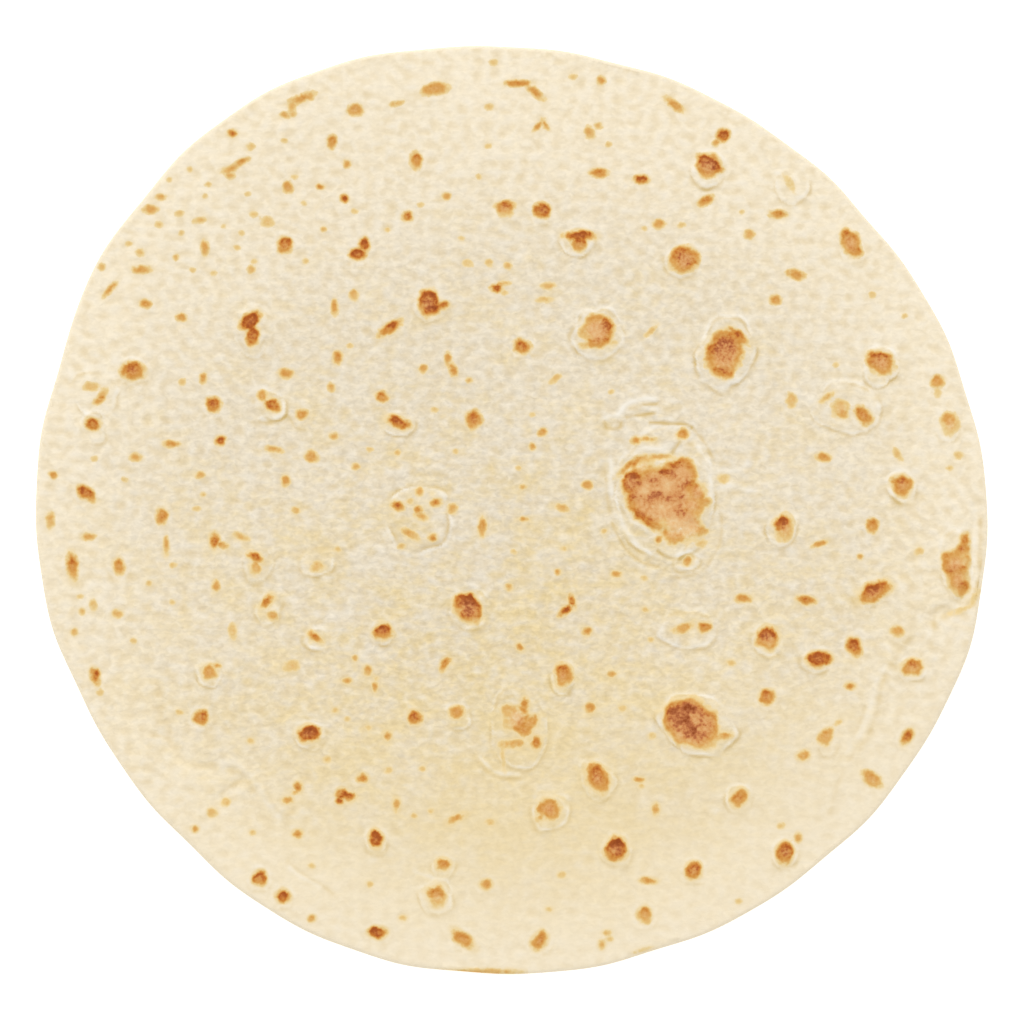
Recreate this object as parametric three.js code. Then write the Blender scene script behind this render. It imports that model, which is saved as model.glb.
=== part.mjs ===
// A piadina: a thin round flatbread baked on a griddle, as one solid of dough.
// It has an uneven rim, pressed blisters, a few creases and an edge that curls a little off the table.
// Millimetres, +Z up, the origin on the table under the middle of the bread.
import * as THREE from "three";

// Driving dimensions of the bread.
const BREAD_WIDTH = 280;
const RIM_RADIUS = 0.4895 * BREAD_WIDTH;
const DOUGH_THICKNESS = 2.6;
const RIM_ROUNDING = 1.3;
const RIM_THINNING = 0.35;
const RIM_THINNING_WIDTH = 14;
const CURL_START = 0.78 * RIM_RADIUS;

// The rim's departures from a circle: bearing and spread in degrees, rise in mm.
const RIM_SWELLS = [
  { bearing: 131, spread: 31, rise: 6.1 },
  { bearing: 184, spread: 22, rise: 3.2 },
  { bearing: 347, spread: 34, rise: 3.7 },
  { bearing: 60, spread: 30, rise: -1.7 },
  { bearing: 246, spread: 12, rise: 1.2 },
  { bearing: 284, spread: 12, rise: -0.4 },
  { bearing: 150, spread: 6, rise: 1.0 },
  { bearing: 119, spread: 7, rise: 0.8 },
  { bearing: 90, spread: 10, rise: -0.6 },
  { bearing: 41, spread: 6, rise: -0.6 },
];

// Small wobble of the rolled edge: waves per turn, height in mm, phase in degrees.
const RIM_WOBBLES = [
  { perTurn: 17, height: 0.22, phase: 40 },
  { perTurn: 29, height: 0.16, phase: 200 },
];

// Where the edge curls off the table: bearing and spread in degrees, rise in mm.
const RIM_CURLS = [
  { bearing: 350, spread: 17, rise: 1.9 },
  { bearing: 128, spread: 24, rise: 1.2 },
  { bearing: 226, spread: 20, rise: 1.4 },
  { bearing: 62, spread: 16, rise: 0.8 },
  { bearing: 290, spread: 20, rise: 0.6 },
  { bearing: 180, spread: 15, rise: 0.7 },
];

// Slow waves in the thickness of the rolled dough: length and height in mm, heading and phase in degrees.
const DOUGH_WAVES = [
  { length: 118, heading: 20, height: 0.16, phase: 30 },
  { length: 83, heading: 105, height: 0.14, phase: 160 },
  { length: 61, heading: 62, height: 0.1, phase: 250 },
];

// A blister has settled since it was baked: a low plateau that slopes down about its edge, with a thin
// wrinkle on the brow of the slope. Distances from the edge and heights in mm.
const SLOPE_INSIDE = 2.8;
const SLOPE_BEYOND = 0.8;
const BROW_INSIDE = 0.9;
const BROW_HEIGHT = 0.16;
const BROW_HALF_WIDTH = 0.8;

// The blisters: place, half length and half width in mm, turn in degrees, height in mm.
const BLISTERS = [
  [45.3, 4.6, 19.8, 15, 90, 0.5],
  [45, 5.2, 13.6, 11.2, 0, 0.25],
  [47.8, -9.7, 5, 4.8, 0, 0.3],
  [51.8, -15.4, 3.3, 3.1, 0, 0.3],
  [62.9, 46.2, 11.4, 8.6, 75, 0.65],
  [25.4, 51.8, 8.2, 8, 0, 0.5],
  [54.9, -63.4, 12.4, 8.7, -27, 0.65],
  [63, -66.4, 2.8, 2.3, 10, 0.2],
  [58, 100.5, 5.8, 5.2, 90, 0.5],
  [50.4, 73.5, 5.4, 5.2, 90, 0.4],
  [-27.3, -2.4, 10.5, 10, 90, 0.45],
  [99, 30, 10.5, 8, -10, 0.4],
  [108.5, 42.3, 6.6, 5.5, 90, 0.45],
  [25.3, -79.6, 6.8, 5.2, 115, 0.45],
  [11, -88.7, 6.6, 6, 45, 0.4],
  [30.8, -100.2, 5.3, 5.2, 0, 0.45],
  [-22.1, -114.6, 5.8, 5, 100, 0.35],
  [80.5, -101.4, 4.5, 4, 90, 0.35],
  [-76.5, 53, 8, 6.4, 100, 0.45],
  [-123, 34.5, 7.6, 7, 0, 0.3],
  [2, -64.5, 13, 9, 95, 0.45],
  [15.2, -49.2, 5, 3.9, 90, 0.4],
  [51.8, -35.2, 8.8, 6.4, 0, 0.35],
  [-12.4, -29, 6.8, 6, -45, 0.4],
  [80, -5.8, 5.8, 4.3, 85, 0.35],
  [75.5, -38.3, 5.4, 5, 90, 0.35],
  [89.9, -44.7, 4.9, 3.6, 0, 0.35],
  [115.1, 6.6, 5.4, 4.4, 100, 0.35],
  [-89.1, -47.9, 4.2, 3.9, 30, 0.35],
  [82.6, 95.6, 6, 4.8, -60, 0.35],
  [-24.2, 61, 5.6, 5.2, -50, 0.25],
  [-59.7, -66.2, 4.9, 4.6, 0, 0.35],
  [131, -16.4, 10.4, 4.8, 97, 0.35],
  [-33, 25.4, 5.6, 3.8, -15, 0.35],
  [-71.2, 31.2, 5.6, 4.2, -40, 0.35],
  [-57, -15.2, 6.2, 4.2, 15, 0.25],
  [-37.8, -36.4, 4.2, 3.9, 0, 0.35],
  [100.1, 78.7, 6.2, 4.2, -65, 0.35],
  [107, -24.4, 6.2, 3.8, 25, 0.35],
  [67, -85.3, 5, 4, 70, 0.35],
  [-20, -105.1, 3.7, 3.6, 0, 0.3],
  [-40, -97.9, 4.8, 3.4, 90, 0.35],
  [-123.2, 24, 5, 3.8, 90, 0.35],
  [-57.8, -38.2, 4.2, 3.4, -20, 0.3],
  [19.9, 79.5, 5, 4.6, 0, 0.35],
  [128.9, 24.9, 4.6, 3.7, 95, 0.3],
  [53.7, -106.4, 3.9, 3.8, 0, 0.3],
  [-16.3, -60.8, 4.1, 4, 0, 0.3],
  [-111.7, 41, 4.8, 3.7, 0, 0.25],
  [118, -46.8, 4.6, 3.8, 20, 0.3],
  [-75.2, -16.2, 5.8, 4.6, 90, 0.35],
  [-71.8, -28.8, 5.2, 4, 60, 0.3],
].map(([x, y, halfLength, halfWidth, turn, height]) => ({ x, y, halfLength, halfWidth, turn, height }));

// Creases pressed into the top: a path in mm, a depth (a ridge where negative) and a half width in mm.
const CREASES = [
  {
    path: [[-104, -50], [-102.5, -62], [-98, -71.5], [-90, -75.8], [-81, -76.4]],
    depth: 0.55,
    halfWidth: 2.6,
  },
  { path: [[-84, -74.6], [-78.5, -77], [-73, -83], [-66, -90]], depth: -0.45, halfWidth: 1.8 },
  { path: [[-87, -85.4], [-82.5, -81.6], [-78.5, -79]], depth: 0.5, halfWidth: 1.4 },
  {
    path: [[137.2, 1], [136.6, -11], [135, -21], [131.5, -27.5], [123.5, -31.5]],
    depth: 0.6,
    halfWidth: 1.7,
  },
  { path: [[123, -33], [119.5, -39], [116.5, -52], [118, -60]], depth: 0.3, halfWidth: 2.4 },
  { path: [[29.4, -4], [33.4, -12.3], [39, -16.5], [48, -19.4], [55, -19]], depth: -0.22, halfWidth: 1.1 },
  { path: [[59.5, -15], [62.3, -8], [63.2, -1], [62.3, 5]], depth: -0.22, halfWidth: 1.1 },
  { path: [[-40, 4.5], [-34.5, 10.6], [-27, 12.8], [-18.5, 10.8]], depth: -0.22, halfWidth: 1.1 },
];
const CREASE_SAMPLES = 30;

// How finely the surfaces are divided; steps and the smallest gap between points in mm.
const RIM_POINTS = 200;
const RIM_STEPS = 4;
const TOP_STEP = 7;
const UNDERSIDE_STEP = 17;
const FINE_STEP = 3.2;
const FINE_GAP = 1.15;
const GAP_SHARE = 0.62;
const JITTER = 0.12;
const FEWEST_RING_POINTS = 6;
const SEED = 41;

// Rings of points round a blister: a share of its half sizes and a reach beyond that in mm.
const BLISTER_RINGS = [
  { share: 0.45, beyond: 0 },
  { share: 1, beyond: -SLOPE_INSIDE },
  { share: 1, beyond: -BROW_INSIDE },
  { share: 1, beyond: SLOPE_BEYOND },
];

// Lines of points along a crease, in half widths from its middle.
const CREASE_LINES = [0, -1.3, 1.3];

// Half the side of the square that the rows of points fill, and a distance far outside the bread.
const SQUARE_REACH = 0.55 * BREAD_WIDTH;
const FAR_AWAY = 5 * BREAD_WIDTH;

const degrees = THREE.MathUtils.degToRad;
const { smoothstep, seededRandom, euclideanModulo } = THREE.MathUtils;

// A rounded hump: 1 at its middle, near 0 beyond two spreads.
function hump(distance, spread) {
  return Math.exp(-((distance / spread) ** 2));
}

// The sum of humps set round the rim at a bearing in radians.
function humpsAt(bearing, humps) {
  const turn = THREE.MathUtils.radToDeg(bearing);
  return humps.reduce((sum, h) => {
    const apart = euclideanModulo(turn - h.bearing + 180, 360) - 180;
    return sum + h.rise * hump(apart, h.spread);
  }, 0);
}

// The outline: distance from the middle to the rim at a bearing.
function rimRadius(bearing) {
  const wobble = RIM_WOBBLES.reduce(
    (sum, w) => sum + w.height * Math.sin(w.perTurn * bearing + degrees(w.phase)),
    0,
  );
  return RIM_RADIUS + humpsAt(bearing, RIM_SWELLS) + wobble;
}

// Underside: flat on the table in the middle, curling up towards the rim.
function undersideHeight(x, y) {
  const curl = smoothstep(Math.hypot(x, y), CURL_START, RIM_RADIUS);
  return curl * humpsAt(Math.atan2(y, x), RIM_CURLS);
}

function doughThickness(x, y) {
  const waves = DOUGH_WAVES.reduce((sum, w) => {
    const along = x * Math.cos(degrees(w.heading)) + y * Math.sin(degrees(w.heading));
    return sum + w.height * Math.sin((2 * Math.PI * along) / w.length + degrees(w.phase));
  }, 0);
  const toRim = rimRadius(Math.atan2(y, x)) - Math.hypot(x, y);
  const thinning = RIM_THINNING * (1 - smoothstep(toRim, 0, RIM_THINNING_WIDTH));
  return DOUGH_THICKNESS + waves - thinning;
}

// Distance from a blister's middle as a share of its half sizes.
function shareOut(blister, x, y) {
  const turn = degrees(blister.turn);
  const dx = x - blister.x;
  const dy = y - blister.y;
  const along = dx * Math.cos(turn) + dy * Math.sin(turn);
  const across = dy * Math.cos(turn) - dx * Math.sin(turn);
  return Math.hypot(along / blister.halfLength, across / blister.halfWidth);
}

function blisterHeight(x, y) {
  return BLISTERS.reduce((sum, blister) => {
    const share = shareOut(blister, x, y);
    const beyond = ((share - 1) * (blister.halfLength + blister.halfWidth)) / 2;
    const plateau = blister.height * (1 - smoothstep(beyond, -SLOPE_INSIDE, SLOPE_BEYOND));
    return sum + plateau + BROW_HEIGHT * hump(beyond + BROW_INSIDE, BROW_HALF_WIDTH);
  }, 0);
}

// The points along each crease, on a smooth curve through its path.
const creaseLines = CREASES.map((crease) => {
  const path = crease.path.map(([x, y]) => new THREE.Vector3(x, y, 0));
  return new THREE.CatmullRomCurve3(path).getPoints(CREASE_SAMPLES);
});

function creaseDepth(x, y) {
  return CREASES.reduce((sum, crease, i) => {
    const nearest = Math.min(...creaseLines[i].map((p) => Math.hypot(p.x - x, p.y - y)));
    return sum + crease.depth * hump(nearest, crease.halfWidth);
  }, 0);
}

function topHeight(x, y) {
  return undersideHeight(x, y) + doughThickness(x, y) + blisterHeight(x, y) - creaseDepth(x, y);
}

// A point on the rim at one of its equal bearings, drawn in by an inset.
function rimPoint(i, inset) {
  const bearing = (2 * Math.PI * i) / RIM_POINTS;
  const radius = rimRadius(bearing) - inset;
  return [radius * Math.cos(bearing), radius * Math.sin(bearing)];
}

// The ring of points where the rounded rim meets the top and the underside.
function rimRing() {
  return Array.from({ length: RIM_POINTS }, (_, i) => rimPoint(i, RIM_ROUNDING));
}

// Adds a point unless the rim or another point is closer than a gap.
function addSpaced(points, x, y, gap) {
  const room = rimRadius(Math.atan2(y, x)) - RIM_ROUNDING - Math.hypot(x, y);
  const free = points.every(([px, py]) => Math.hypot(px - x, py - y) > gap);
  if (room > gap && free) points.push([x, y]);
}

// Points in the middle of each blister and on rings where its slope and brow turn.
function addBlisterPoints(points) {
  for (const blister of BLISTERS) {
    const turn = degrees(blister.turn);
    addSpaced(points, blister.x, blister.y, FINE_GAP);
    for (const ring of BLISTER_RINGS) {
      const halfLength = ring.share * blister.halfLength + ring.beyond;
      const halfWidth = ring.share * blister.halfWidth + ring.beyond;
      const around = Math.PI * (halfLength + halfWidth);
      const count = Math.max(FEWEST_RING_POINTS, Math.round(around / FINE_STEP));
      for (let i = 0; i < count; i++) {
        const angle = (2 * Math.PI * (i + ring.share)) / count;
        const along = halfLength * Math.cos(angle);
        const across = halfWidth * Math.sin(angle);
        const x = blister.x + along * Math.cos(turn) - across * Math.sin(turn);
        const y = blister.y + along * Math.sin(turn) + across * Math.cos(turn);
        addSpaced(points, x, y, FINE_GAP);
      }
    }
  }
}

// Points down the middle and both sides of each crease.
function addCreasePoints(points) {
  CREASES.forEach((crease, c) => {
    const line = creaseLines[c];
    for (let i = 1; i < line.length - 1; i++) {
      const heading = Math.atan2(line[i + 1].y - line[i - 1].y, line[i + 1].x - line[i - 1].x);
      for (const side of CREASE_LINES) {
        const reach = side * crease.halfWidth;
        const x = line[i].x - reach * Math.sin(heading);
        const y = line[i].y + reach * Math.cos(heading);
        addSpaced(points, x, y, FINE_GAP);
      }
    }
  });
}

// Fills what is left with rows of points, every other row moved by half a step, each nudged a little.
function addRows(points, step) {
  const rise = (step * Math.sqrt(3)) / 2;
  const rows = Math.ceil(SQUARE_REACH / rise);
  for (let row = -rows; row <= rows; row++) {
    const shift = row % 2 === 0 ? 0 : step / 2;
    for (let x = -SQUARE_REACH + shift; x < SQUARE_REACH; x += step) {
      const nudgeX = JITTER * step * (seededRandom() - 0.5);
      const nudgeY = JITTER * step * (seededRandom() - 0.5);
      addSpaced(points, x + nudgeX, row * rise + nudgeY, GAP_SHARE * step);
    }
  }
}

// A triangle of three point numbers with the circle through them.
function circled(points, a, b, c) {
  const [ax, ay] = points[a];
  const bx = points[b][0] - ax;
  const by = points[b][1] - ay;
  const cx = points[c][0] - ax;
  const cy = points[c][1] - ay;
  const twiceArea = 2 * (bx * cy - by * cx);
  const x = (cy * (bx * bx + by * by) - by * (cx * cx + cy * cy)) / twiceArea;
  const y = (bx * (cx * cx + cy * cy) - cx * (bx * bx + by * by)) / twiceArea;
  return { corners: [a, b, c], x: ax + x, y: ay + y, reach: Math.hypot(x, y) };
}

// Joins scattered points into triangles whose circles hold no other point (Delaunay).
// Each point in turn removes the triangles whose circles hold it and joins up with the hole's edge.
function joinedInTriangles(points) {
  const count = points.length;
  const all = [...points, [-FAR_AWAY, -FAR_AWAY], [FAR_AWAY, -FAR_AWAY], [0, FAR_AWAY]];
  let triangles = [circled(all, count, count + 1, count + 2)];
  points.forEach(([x, y], i) => {
    const edges = new Map();
    triangles = triangles.filter((triangle) => {
      if (Math.hypot(x - triangle.x, y - triangle.y) > triangle.reach) return true;
      triangle.corners.forEach((from, k) => {
        const to = triangle.corners[(k + 1) % 3];
        if (!edges.delete(`${to} ${from}`)) edges.set(`${from} ${to}`, [from, to]);
      });
      return false;
    });
    for (const [from, to] of edges.values()) triangles.push(circled(all, from, to, i));
  });
  return triangles.map((triangle) => triangle.corners).filter((corners) => withinRim(corners, points));
}

// Keeps a triangle that uses only real points and lies inside the rim ring.
function withinRim(corners, points) {
  if (corners.some((c) => c >= points.length)) return false;
  const x = corners.reduce((sum, c) => sum + points[c][0], 0) / 3;
  const y = corners.reduce((sum, c) => sum + points[c][1], 0) / 3;
  const allOnRim = corners.every((c) => c < RIM_POINTS);
  return !allOnRim || Math.hypot(x, y) < rimRadius(Math.atan2(y, x)) - RIM_ROUNDING;
}

// The rounded rim between top and underside: rings on a half ellipse, from just below the top downwards.
function rimRings() {
  const rings = [];
  for (let step = 1; step < RIM_STEPS; step++) {
    const angle = Math.PI / 2 - (Math.PI * step) / RIM_STEPS;
    const ring = rimRing().map(([x, y], i) => {
      const high = topHeight(x, y);
      const low = undersideHeight(x, y);
      const [rx, ry] = rimPoint(i, RIM_ROUNDING * (1 - Math.cos(angle)));
      return [rx, ry, (high + low) / 2 + ((high - low) / 2) * Math.sin(angle)];
    });
    rings.push(ring);
  }
  return rings;
}

// The bread's closed surface: top, rounded rim and underside, sharing their rim points.
function breadGeometry() {
  seededRandom(SEED);
  const topPoints = rimRing();
  addBlisterPoints(topPoints);
  addCreasePoints(topPoints);
  addRows(topPoints, TOP_STEP);
  const undersidePoints = rimRing();
  addRows(undersidePoints, UNDERSIDE_STEP);
  const rings = rimRings();

  const positions = [
    ...topPoints.map(([x, y]) => [x, y, topHeight(x, y)]),
    ...rings.flat(),
    ...undersidePoints.map(([x, y]) => [x, y, undersideHeight(x, y)]),
  ];
  const ringStart = topPoints.length;
  const undersideStart = ringStart + rings.length * RIM_POINTS;
  const ringStarts = [0, ...rings.map((_, k) => ringStart + k * RIM_POINTS), undersideStart];

  const indices = joinedInTriangles(topPoints).flat();
  for (let k = 0; k + 1 < ringStarts.length; k++) {
    for (let i = 0; i < RIM_POINTS; i++) {
      const next = (i + 1) % RIM_POINTS;
      const upper = ringStarts[k];
      const lower = ringStarts[k + 1];
      indices.push(upper + i, lower + i, upper + next, upper + next, lower + i, lower + next);
    }
  }
  for (const [a, b, c] of joinedInTriangles(undersidePoints)) {
    indices.push(undersideStart + a, undersideStart + c, undersideStart + b);
  }

  const geometry = new THREE.BufferGeometry();
  geometry.setAttribute("position", new THREE.Float32BufferAttribute(positions.flat(), 3));
  geometry.setIndex(indices);
  geometry.computeBoundingBox();
  const middle = geometry.boundingBox.getCenter(new THREE.Vector3());
  geometry.translate(-middle.x, -middle.y, -geometry.boundingBox.min.z);
  geometry.computeVertexNormals();
  return geometry;
}

// Baked soft-wheat dough: pale cream, dry and matt.
function bakedDough() {
  return new THREE.MeshStandardMaterial({ color: 0xeadfc4, roughness: 0.85, metalness: 0 });
}

function piadina() {
  const bread = new THREE.Mesh(breadGeometry(), bakedDough());
  bread.name = "piadina";
  const group = new THREE.Group();
  group.add(bread);
  return group;
}

export default piadina();
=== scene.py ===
"""A piadina: a thin round flatbread, griddled until it blisters and toasts in spots."""

import bpy
import numpy as np
from mathutils.geometry import delaunay_2d_cdt
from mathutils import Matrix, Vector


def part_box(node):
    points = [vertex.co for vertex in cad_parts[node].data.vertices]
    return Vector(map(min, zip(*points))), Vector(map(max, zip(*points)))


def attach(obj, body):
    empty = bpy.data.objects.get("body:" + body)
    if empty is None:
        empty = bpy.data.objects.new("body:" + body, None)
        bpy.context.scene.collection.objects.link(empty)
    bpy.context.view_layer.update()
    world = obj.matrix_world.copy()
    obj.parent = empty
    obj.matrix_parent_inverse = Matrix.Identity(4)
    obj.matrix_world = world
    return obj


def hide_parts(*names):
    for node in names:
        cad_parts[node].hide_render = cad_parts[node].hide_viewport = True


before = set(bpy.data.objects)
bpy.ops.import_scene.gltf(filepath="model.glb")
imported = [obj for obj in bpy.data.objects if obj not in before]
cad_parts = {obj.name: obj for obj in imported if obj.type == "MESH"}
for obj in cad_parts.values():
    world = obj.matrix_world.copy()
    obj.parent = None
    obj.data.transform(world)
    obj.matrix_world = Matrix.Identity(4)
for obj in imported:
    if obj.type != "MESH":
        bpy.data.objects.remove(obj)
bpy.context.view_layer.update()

MM = 0.001

# Sizes of the bread in millimetres, as in the part's source.
BREAD_WIDTH = 280.0
RIM_RADIUS = 0.4895 * BREAD_WIDTH
DOUGH_THICKNESS = 2.6
RIM_ROUNDING = 1.3
RIM_THINNING = 0.35
RIM_THINNING_WIDTH = 14.0
CURL_START = 0.78 * RIM_RADIUS

# The rim's departures from a circle: bearing and spread in degrees, rise in mm.
RIM_SWELLS = [
    (131, 31, 6.1), (184, 22, 3.2), (347, 34, 3.7), (60, 30, -1.7), (246, 12, 1.2),
    (284, 12, -0.4), (150, 6, 1.0), (119, 7, 0.8), (90, 10, -0.6), (41, 6, -0.6),
]

# Small wobble of the rolled edge: waves per turn, height in mm, phase in degrees.
RIM_WOBBLES = [(17, 0.22, 40), (29, 0.16, 200)]

# Where the edge curls off the table: bearing and spread in degrees, rise in mm.
RIM_CURLS = [
    (350, 17, 1.9), (128, 24, 1.2), (226, 20, 1.4),
    (62, 16, 0.8), (290, 20, 0.6), (180, 15, 0.7),
]

# Slow waves in the thickness of the dough: length in mm, heading in degrees, height in mm, phase in degrees.
DOUGH_WAVES = [(118, 20, 0.16, 30), (83, 105, 0.14, 160), (61, 62, 0.1, 250)]

# A blister has settled: a low plateau that slopes down about its edge, and a thin wrinkle on the brow of the
# slope. Along it lie a pale line of painted highlight and a tan line of painted shade, as on a ridge lit
# from the upper side. Distances from the edge, widths and heights in mm.
SLOPE_INSIDE = 2.8
SLOPE_BEYOND = 0.8
BROW_INSIDE = 0.9
BROW_HEIGHT = 0.16
BROW_HALF_WIDTH = 0.8
LINES_INSIDE = 0.5
LINE_WIDTH = 0.65

# The two lines follow t times a hump of t; this brings its peak to about 1. They come and go over noise of
# this size in mm.
LINE_PEAK = 2.3
FADING_SIZE = 10.0

# How far a blister's edge wanders in mm, over noise of what size in mm, and that noise's step from the seed.
EDGE_WANDERS = [(0.4, 9.0, 2), (0.12, 4.0, 4)]

# Blisters up to the small half width in mm are yellow within, and from the large one on not at all. The
# yellow fades out from this far inside the edge to this far beyond it, in mm.
SMALL_BLISTER = 5
LARGE_BLISTER = 7
YELLOW_INSIDE = 1.5
YELLOW_BEYOND = 1.0

# The blisters: place, half length and half width in mm, turn in degrees, height in mm, and how clear the
# lines are, below 0 where the wrinkle on the brow is a groove.
BLISTERS = [
    (45.3, 4.6, 19.8, 15, 90, 0.5, 0.8), (45, 5.2, 13.6, 11.2, 0, 0.25, 0.3),
    (47.8, -9.7, 5, 4.8, 0, 0.3, 0.4), (51.8, -15.4, 3.3, 3.1, 0, 0.3, 0.9),
    (62.9, 46.2, 11.4, 8.6, 75, 0.65, 1), (25.4, 51.8, 8.2, 8, 0, 0.5, 0.8),
    (54.9, -63.4, 12.4, 8.7, -27, 0.65, 0.9), (63, -66.4, 2.8, 2.3, 10, 0.2, 0.3),
    (58, 100.5, 5.8, 5.2, 90, 0.5, 0.9), (50.4, 73.5, 5.4, 5.2, 90, 0.4, 0.4),
    (-27.3, -2.4, 10.5, 10, 90, 0.45, -0.9), (99, 30, 10.5, 8, -10, 0.4, 0.7),
    (108.5, 42.3, 6.6, 5.5, 90, 0.45, 0.8), (25.3, -79.6, 6.8, 5.2, 115, 0.45, 0.5),
    (11, -88.7, 6.6, 6, 45, 0.4, 0.6), (30.8, -100.2, 5.3, 5.2, 0, 0.45, 0.2),
    (-22.1, -114.6, 5.8, 5, 100, 0.35, 0.6), (80.5, -101.4, 4.5, 4, 90, 0.35, 0.5),
    (-76.5, 53, 8, 6.4, 100, 0.45, 0.4), (-123, 34.5, 7.6, 7, 0, 0.3, 0.5),
    (2, -64.5, 13, 9, 95, 0.45, 0.6), (15.2, -49.2, 5, 3.9, 90, 0.4, 0.6),
    (51.8, -35.2, 8.8, 6.4, 0, 0.35, 0.6), (-12.4, -29, 6.8, 6, -45, 0.4, 0.5),
    (80, -5.8, 5.8, 4.3, 85, 0.35, 0.9), (75.5, -38.3, 5.4, 5, 90, 0.35, 0.7),
    (89.9, -44.7, 4.9, 3.6, 0, 0.35, 0.6), (115.1, 6.6, 5.4, 4.4, 100, 0.35, 0.8),
    (-89.1, -47.9, 4.2, 3.9, 30, 0.35, 0.6), (82.6, 95.6, 6, 4.8, -60, 0.35, 0.65),
    (-24.2, 61, 5.6, 5.2, -50, 0.25, 0.2), (-59.7, -66.2, 4.9, 4.6, 0, 0.35, 0.6),
    (131, -16.4, 10.4, 4.8, 97, 0.35, 0.5), (-33, 25.4, 5.6, 3.8, -15, 0.35, 0.8),
    (-71.2, 31.2, 5.6, 4.2, -40, 0.35, 1), (-57, -15.2, 6.2, 4.2, 15, 0.25, 0.6),
    (-37.8, -36.4, 4.2, 3.9, 0, 0.35, 0.5), (100.1, 78.7, 6.2, 4.2, -65, 0.35, 0.3),
    (107, -24.4, 6.2, 3.8, 25, 0.35, 0.4), (67, -85.3, 5, 4, 70, 0.35, 0.7),
    (-20, -105.1, 3.7, 3.6, 0, 0.3, 0.4), (-40, -97.9, 4.8, 3.4, 90, 0.35, 0.35),
    (-123.2, 24, 5, 3.8, 90, 0.35, 0.7), (-57.8, -38.2, 4.2, 3.4, -20, 0.3, 0.9),
    (19.9, 79.5, 5, 4.6, 0, 0.35, 0.7), (128.9, 24.9, 4.6, 3.7, 95, 0.3, 0.4),
    (53.7, -106.4, 3.9, 3.8, 0, 0.3, 0.1), (-16.3, -60.8, 4.1, 4, 0, 0.3, 0.8),
    (-111.7, 41, 4.8, 3.7, 0, 0.25, 0.5), (118, -46.8, 4.6, 3.8, 20, 0.3, 0.4),
    (-75.2, -16.2, 5.8, 4.6, 90, 0.35, 0.4), (-71.8, -28.8, 5.2, 4, 60, 0.3, 0.5),
]

# Creases pressed into the top: path in mm, depth (a ridge where negative) and half width in mm.
CREASES = [
    ([(-104, -50), (-102.5, -62), (-98, -71.5), (-90, -75.8), (-81, -76.4)], 0.55, 2.6),
    ([(-84, -74.6), (-78.5, -77), (-73, -83), (-66, -90)], -0.45, 1.8),
    ([(-87, -85.4), (-82.5, -81.6), (-78.5, -79)], 0.5, 1.4),
    ([(137.2, 1), (136.6, -11), (135, -21), (131.5, -27.5), (123.5, -31.5)], 0.6, 1.7),
    ([(123, -33), (119.5, -39), (116.5, -52), (118, -60)], 0.3, 2.4),
    ([(29.4, -4), (33.4, -12.3), (39, -16.5), (48, -19.4), (55, -19)], -0.22, 1.1),
    ([(59.5, -15), (62.3, -8), (63.2, -1), (62.3, 5)], -0.22, 1.1),
    ([(-40, 4.5), (-34.5, 10.6), (-27, 12.8), (-18.5, 10.8)], -0.22, 1.1),
]
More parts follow.
